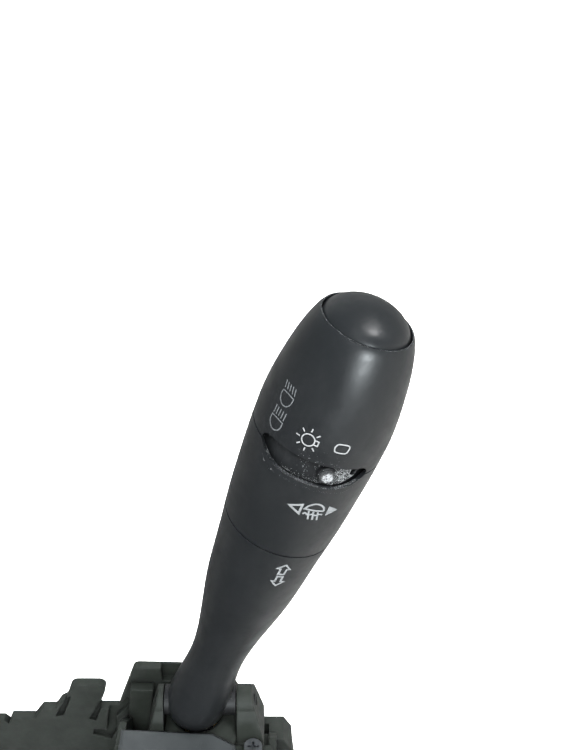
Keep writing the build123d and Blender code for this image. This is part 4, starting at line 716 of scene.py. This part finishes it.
# stations along the axis, radii and chip sizes in mm
THICK_TOP = 99.8
BAND_MIDDLE, BAND_WIDTH = 0.1, 1.1  # above the edge; the width is reached at the right end
BAND_LEAST = 0.35  # share of that width at the left end
STRAY_W = (95.5, 99.5)
RIM_LEAST, RIM_SPAN = 0.3, 70  # share kept at the left end, degrees to where all are kept
BELOW_DEPTH = 0.2
RIM_START_W, RIM_RADII = 99.0, (13.35, 15.3)
GAP_START_W, GAP_RADII = 140.0, (9.6, 10.25)
THICK_SIZES = (0.09, 0.12, 0.16, 0.2, 0.26)
BAND_SIZES = (0.07, 0.09, 0.12, 0.15)
STRAY_SIZES = (0.1, 0.14, 0.18)
BELOW_SIZES = (0.07, 0.09, 0.12)
GAP_SIZES = (0.06, 0.08, 0.11, 0.14)
# tries, stations, angles and sizes on the window's upper edge and above it
KNOB_PATCHES = (
    (16, (99.9, 100.8), (-24, 12), (0.09, 0.12, 0.16)),
    (20, (100.8, 103.4), (-24, 20), (0.06, 0.08)),
)


def scoop_edge(angle):
    """The station of the scoop's lower edge at an angle round the stalk."""
    rise = max(0.0, (abs(angle - SCOOP_MIDDLE) - SCOOP_LEVEL) / SCOOP_SPAN)
    return SCOOP_LOW + SCOOP_RISE * rise ** 2


def floor_dust():
    """Thick right of the peg, a band along the scoop's lower edge, a few chips elsewhere."""
    spots = []
    left, right = BAND_ANGLES
    for _ in range(THICK_TRIES):
        angle = scatter.uniform(*THICK_ANGLES)
        w = scatter.uniform(scoop_edge(angle), THICK_TOP)
        spots.append((w, angle, scatter.choice(THICK_SIZES)))
    for _ in range(BAND_TRIES):
        angle = scatter.uniform(left, right)
        share = BAND_LEAST + (1 - BAND_LEAST) * (angle - left) / (right - left)
        w = scoop_edge(angle) + abs(scatter.gauss(BAND_MIDDLE, share * BAND_WIDTH))
        spots.append((w, angle, scatter.choice(BAND_SIZES)))
    for _ in range(STRAY_TRIES):
        w = scatter.uniform(*STRAY_W)
        spots.append((w, scatter.uniform(*STRAY_ANGLES), scatter.choice(STRAY_SIZES)))
    return spots


def rim_dust():
    """Fallen down the stalk onto the lower edge, thicker to the right, and a little below it."""
    spots = []
    for _ in range(RIM_TRIES):
        angle = scatter.uniform(*RIM_ANGLES)
        if scatter.random() > RIM_LEAST + (1 - RIM_LEAST) * (angle - RIM_ANGLES[0]) / RIM_SPAN:
            continue
        spots.append((RIM_START_W, angle, scatter.choice(BAND_SIZES), scatter.uniform(*RIM_RADII)))
    for _ in range(BELOW_TRIES):
        angle = scatter.uniform(*BELOW_ANGLES)
        w = scoop_edge(angle) - abs(scatter.gauss(0, BELOW_DEPTH))
        spots.append((w, angle, scatter.choice(BELOW_SIZES)))
    return spots


def knob_dust():
    """On the window's upper edge, above it, and in the gap round the button."""
    spots = []
    for tries, stations, angles, sizes in KNOB_PATCHES:
        for _ in range(tries):
            w = scatter.uniform(*stations)
            spots.append((w, scatter.uniform(*angles), scatter.choice(sizes)))
    for _ in range(GAP_TRIES):
        angle = scatter.uniform(0, 360)
        size = scatter.choice(GAP_SIZES)
        spots.append((GAP_START_W, angle, size, scatter.uniform(*GAP_RADII)))
    return spots


flakes("dust_floor", "index_collar", "lever", floor_dust(), 3)
flakes("dust_rim", "fog_ring", "ring", rim_dust(), 4)
flakes("dust_knob", "light_knob", "knob", knob_dust(), 5)


# ================================ stage, lights and camera =====================================
FLOOR_HALF = 3.0
WHITE = (1, 1, 1)
BLUISH = (0.9, 0.97, 1.0)
NEUTRAL = (1.0, 1.0, 0.97)
# direction, cosine where it starts and where it is full, strength, tint
SURROUNDINGS = (
    ((0, 0, 1), -1.0, -0.99, 0.052, BLUISH),
    ((0, 0, 1), -0.1, 0.6, 0.27, BLUISH),
    ((0.75, 0.0, -0.6), 0.25, 0.95, 0.85, NEUTRAL),
    ((-0.7, 0.65, -0.3), 0.6, 0.95, 0.2, NEUTRAL),
    ((0.0, 1.0, 0.15), 0.45, 0.95, 0.3, NEUTRAL),
)
KNOB_PLACE = (0.035, 0.0, 0.15)
# name, place, aim, size, watts, tint, whether it shows in gloss, whether it lights matt surfaces
LIGHTS = (
    ("sky", (0.0, 0.4, 3.0), (0, 0.4, 0), (3.0, 3.0), 11.0, WHITE, False, True),
    ("key", (0.41, -0.14, 0.79), KNOB_PLACE, (0.12, 0.12), 3.0, WHITE, True, True),
    ("front", (0.26, -0.86, 0.24), KNOB_PLACE, (0.24, 0.22), 8.5, BLUISH, True, False),
    ("fill", (0.02, -0.52, 0.72), (0, 0, 0.05), (0.3, 0.3), 22.0, WHITE, False, True),
    ("back", (-0.3, 1.2, 0.55), (0, 0, 0.08), (0.6, 0.6), 22.0, WHITE, False, True),
)
CAMERA_PLACE = (0.0229, -0.1729, 0.2779)
CAMERA_TILT = 55.26  # degrees up from straight down
LENS = 48.0
SENSOR = 36.0


def floor():
    """A white sheet that glows enough to stay white round the object."""
    mesh = bpy.data.meshes.new("floor")
    low, high = -FLOOR_HALF, FLOOR_HALF
    corners = [(low, low, 0), (high, low, 0), (high, high, 0), (low, high, 0)]
    mesh.from_pydata(corners, [], [(0, 1, 2, 3)])
    made = bpy.data.objects.new("floor", mesh)
    bpy.context.scene.collection.objects.link(made)
    s = Shader("floor_white")
    cloud = s.spread(s.noise(220.0, 3.0), *GRAINY)
    s.colour(s.mix(cloud, (0.86, 0.86, 0.86), (0.9, 0.9, 0.9)))
    s.shader.inputs["Roughness"].default_value = 0.9
    s.shader.inputs["Emission Color"].default_value = (1, 1, 1, 1)
    s.shader.inputs["Emission Strength"].default_value = 0.96
    mesh.materials.append(s.material)
    made.visible_glossy = False


def area_light(name, place, aim, size, watts, tint, glossy, diffuse):
    data = bpy.data.lights.new(name, "AREA")
    data.shape = "RECTANGLE"
    data.size, data.size_y = size
    data.energy = watts
    data.color = tint
    made = bpy.data.objects.new(name, data)
    made.location = place
    made.rotation_euler = (Vector(aim) - Vector(place)).to_track_quat("-Z", "Y").to_euler()
    made.visible_glossy = glossy
    made.visible_diffuse = diffuse
    bpy.context.scene.collection.objects.link(made)


def surroundings():
    """The light of the room from each direction. The camera itself sees plain white."""
    world = bpy.data.worlds.new("world")
    bpy.context.scene.world = world
    world.use_nodes = True
    nodes, join = world.node_tree.nodes, world.node_tree.links.new
    place = nodes.new("ShaderNodeTexCoord").outputs["Generated"]
    total = None
    for way, low, high, strength, tint in SURROUNDINGS:
        dot = nodes.new("ShaderNodeVectorMath")
        dot.operation = "DOT_PRODUCT"
        join(place, dot.inputs[0])
        dot.inputs[1].default_value = Vector(way).normalized()
        ramp = nodes.new("ShaderNodeMapRange")
        ramp.interpolation_type = "SMOOTHSTEP"
        ramp.inputs["From Min"].default_value = low
        ramp.inputs["From Max"].default_value = high
        ramp.inputs["To Max"].default_value = strength
        join(dot.outputs["Value"], ramp.inputs["Value"])
        glow = nodes.new("ShaderNodeVectorMath")
        glow.operation = "SCALE"
        glow.inputs[0].default_value = tint
        join(ramp.outputs["Result"], glow.inputs["Scale"])
        light = glow.outputs["Vector"]
        if total is None:
            total = light
            continue
        add = nodes.new("ShaderNodeVectorMath")
        join(total, add.inputs[0])
        join(light, add.inputs[1])
        total = add.outputs["Vector"]
    seen = nodes.new("ShaderNodeMix")
    seen.data_type = "RGBA"
    join(nodes.new("ShaderNodeLightPath").outputs["Is Camera Ray"], seen.inputs["Factor"])
    join(total, seen.inputs[MIX_A])
    seen.inputs[MIX_B].default_value = (1, 1, 1, 1)
    background = nodes["Background"]
    join(seen.outputs[MIX_RESULT], background.inputs["Color"])
    background.inputs["Strength"].default_value = 1.0


floor()
surroundings()
for light in LIGHTS:
    area_light(*light)

bpy.context.scene.view_settings.view_transform = "Standard"

camera_data = bpy.data.cameras.new("camera")
camera_data.sensor_width = SENSOR
camera_data.lens = LENS
camera_data.clip_start = 0.01
camera = bpy.data.objects.new("camera", camera_data)
camera.location = CAMERA_PLACE
camera.rotation_euler = Euler((math.radians(CAMERA_TILT), 0, 0))
bpy.context.scene.collection.objects.link(camera)
bpy.context.scene.camera = camera
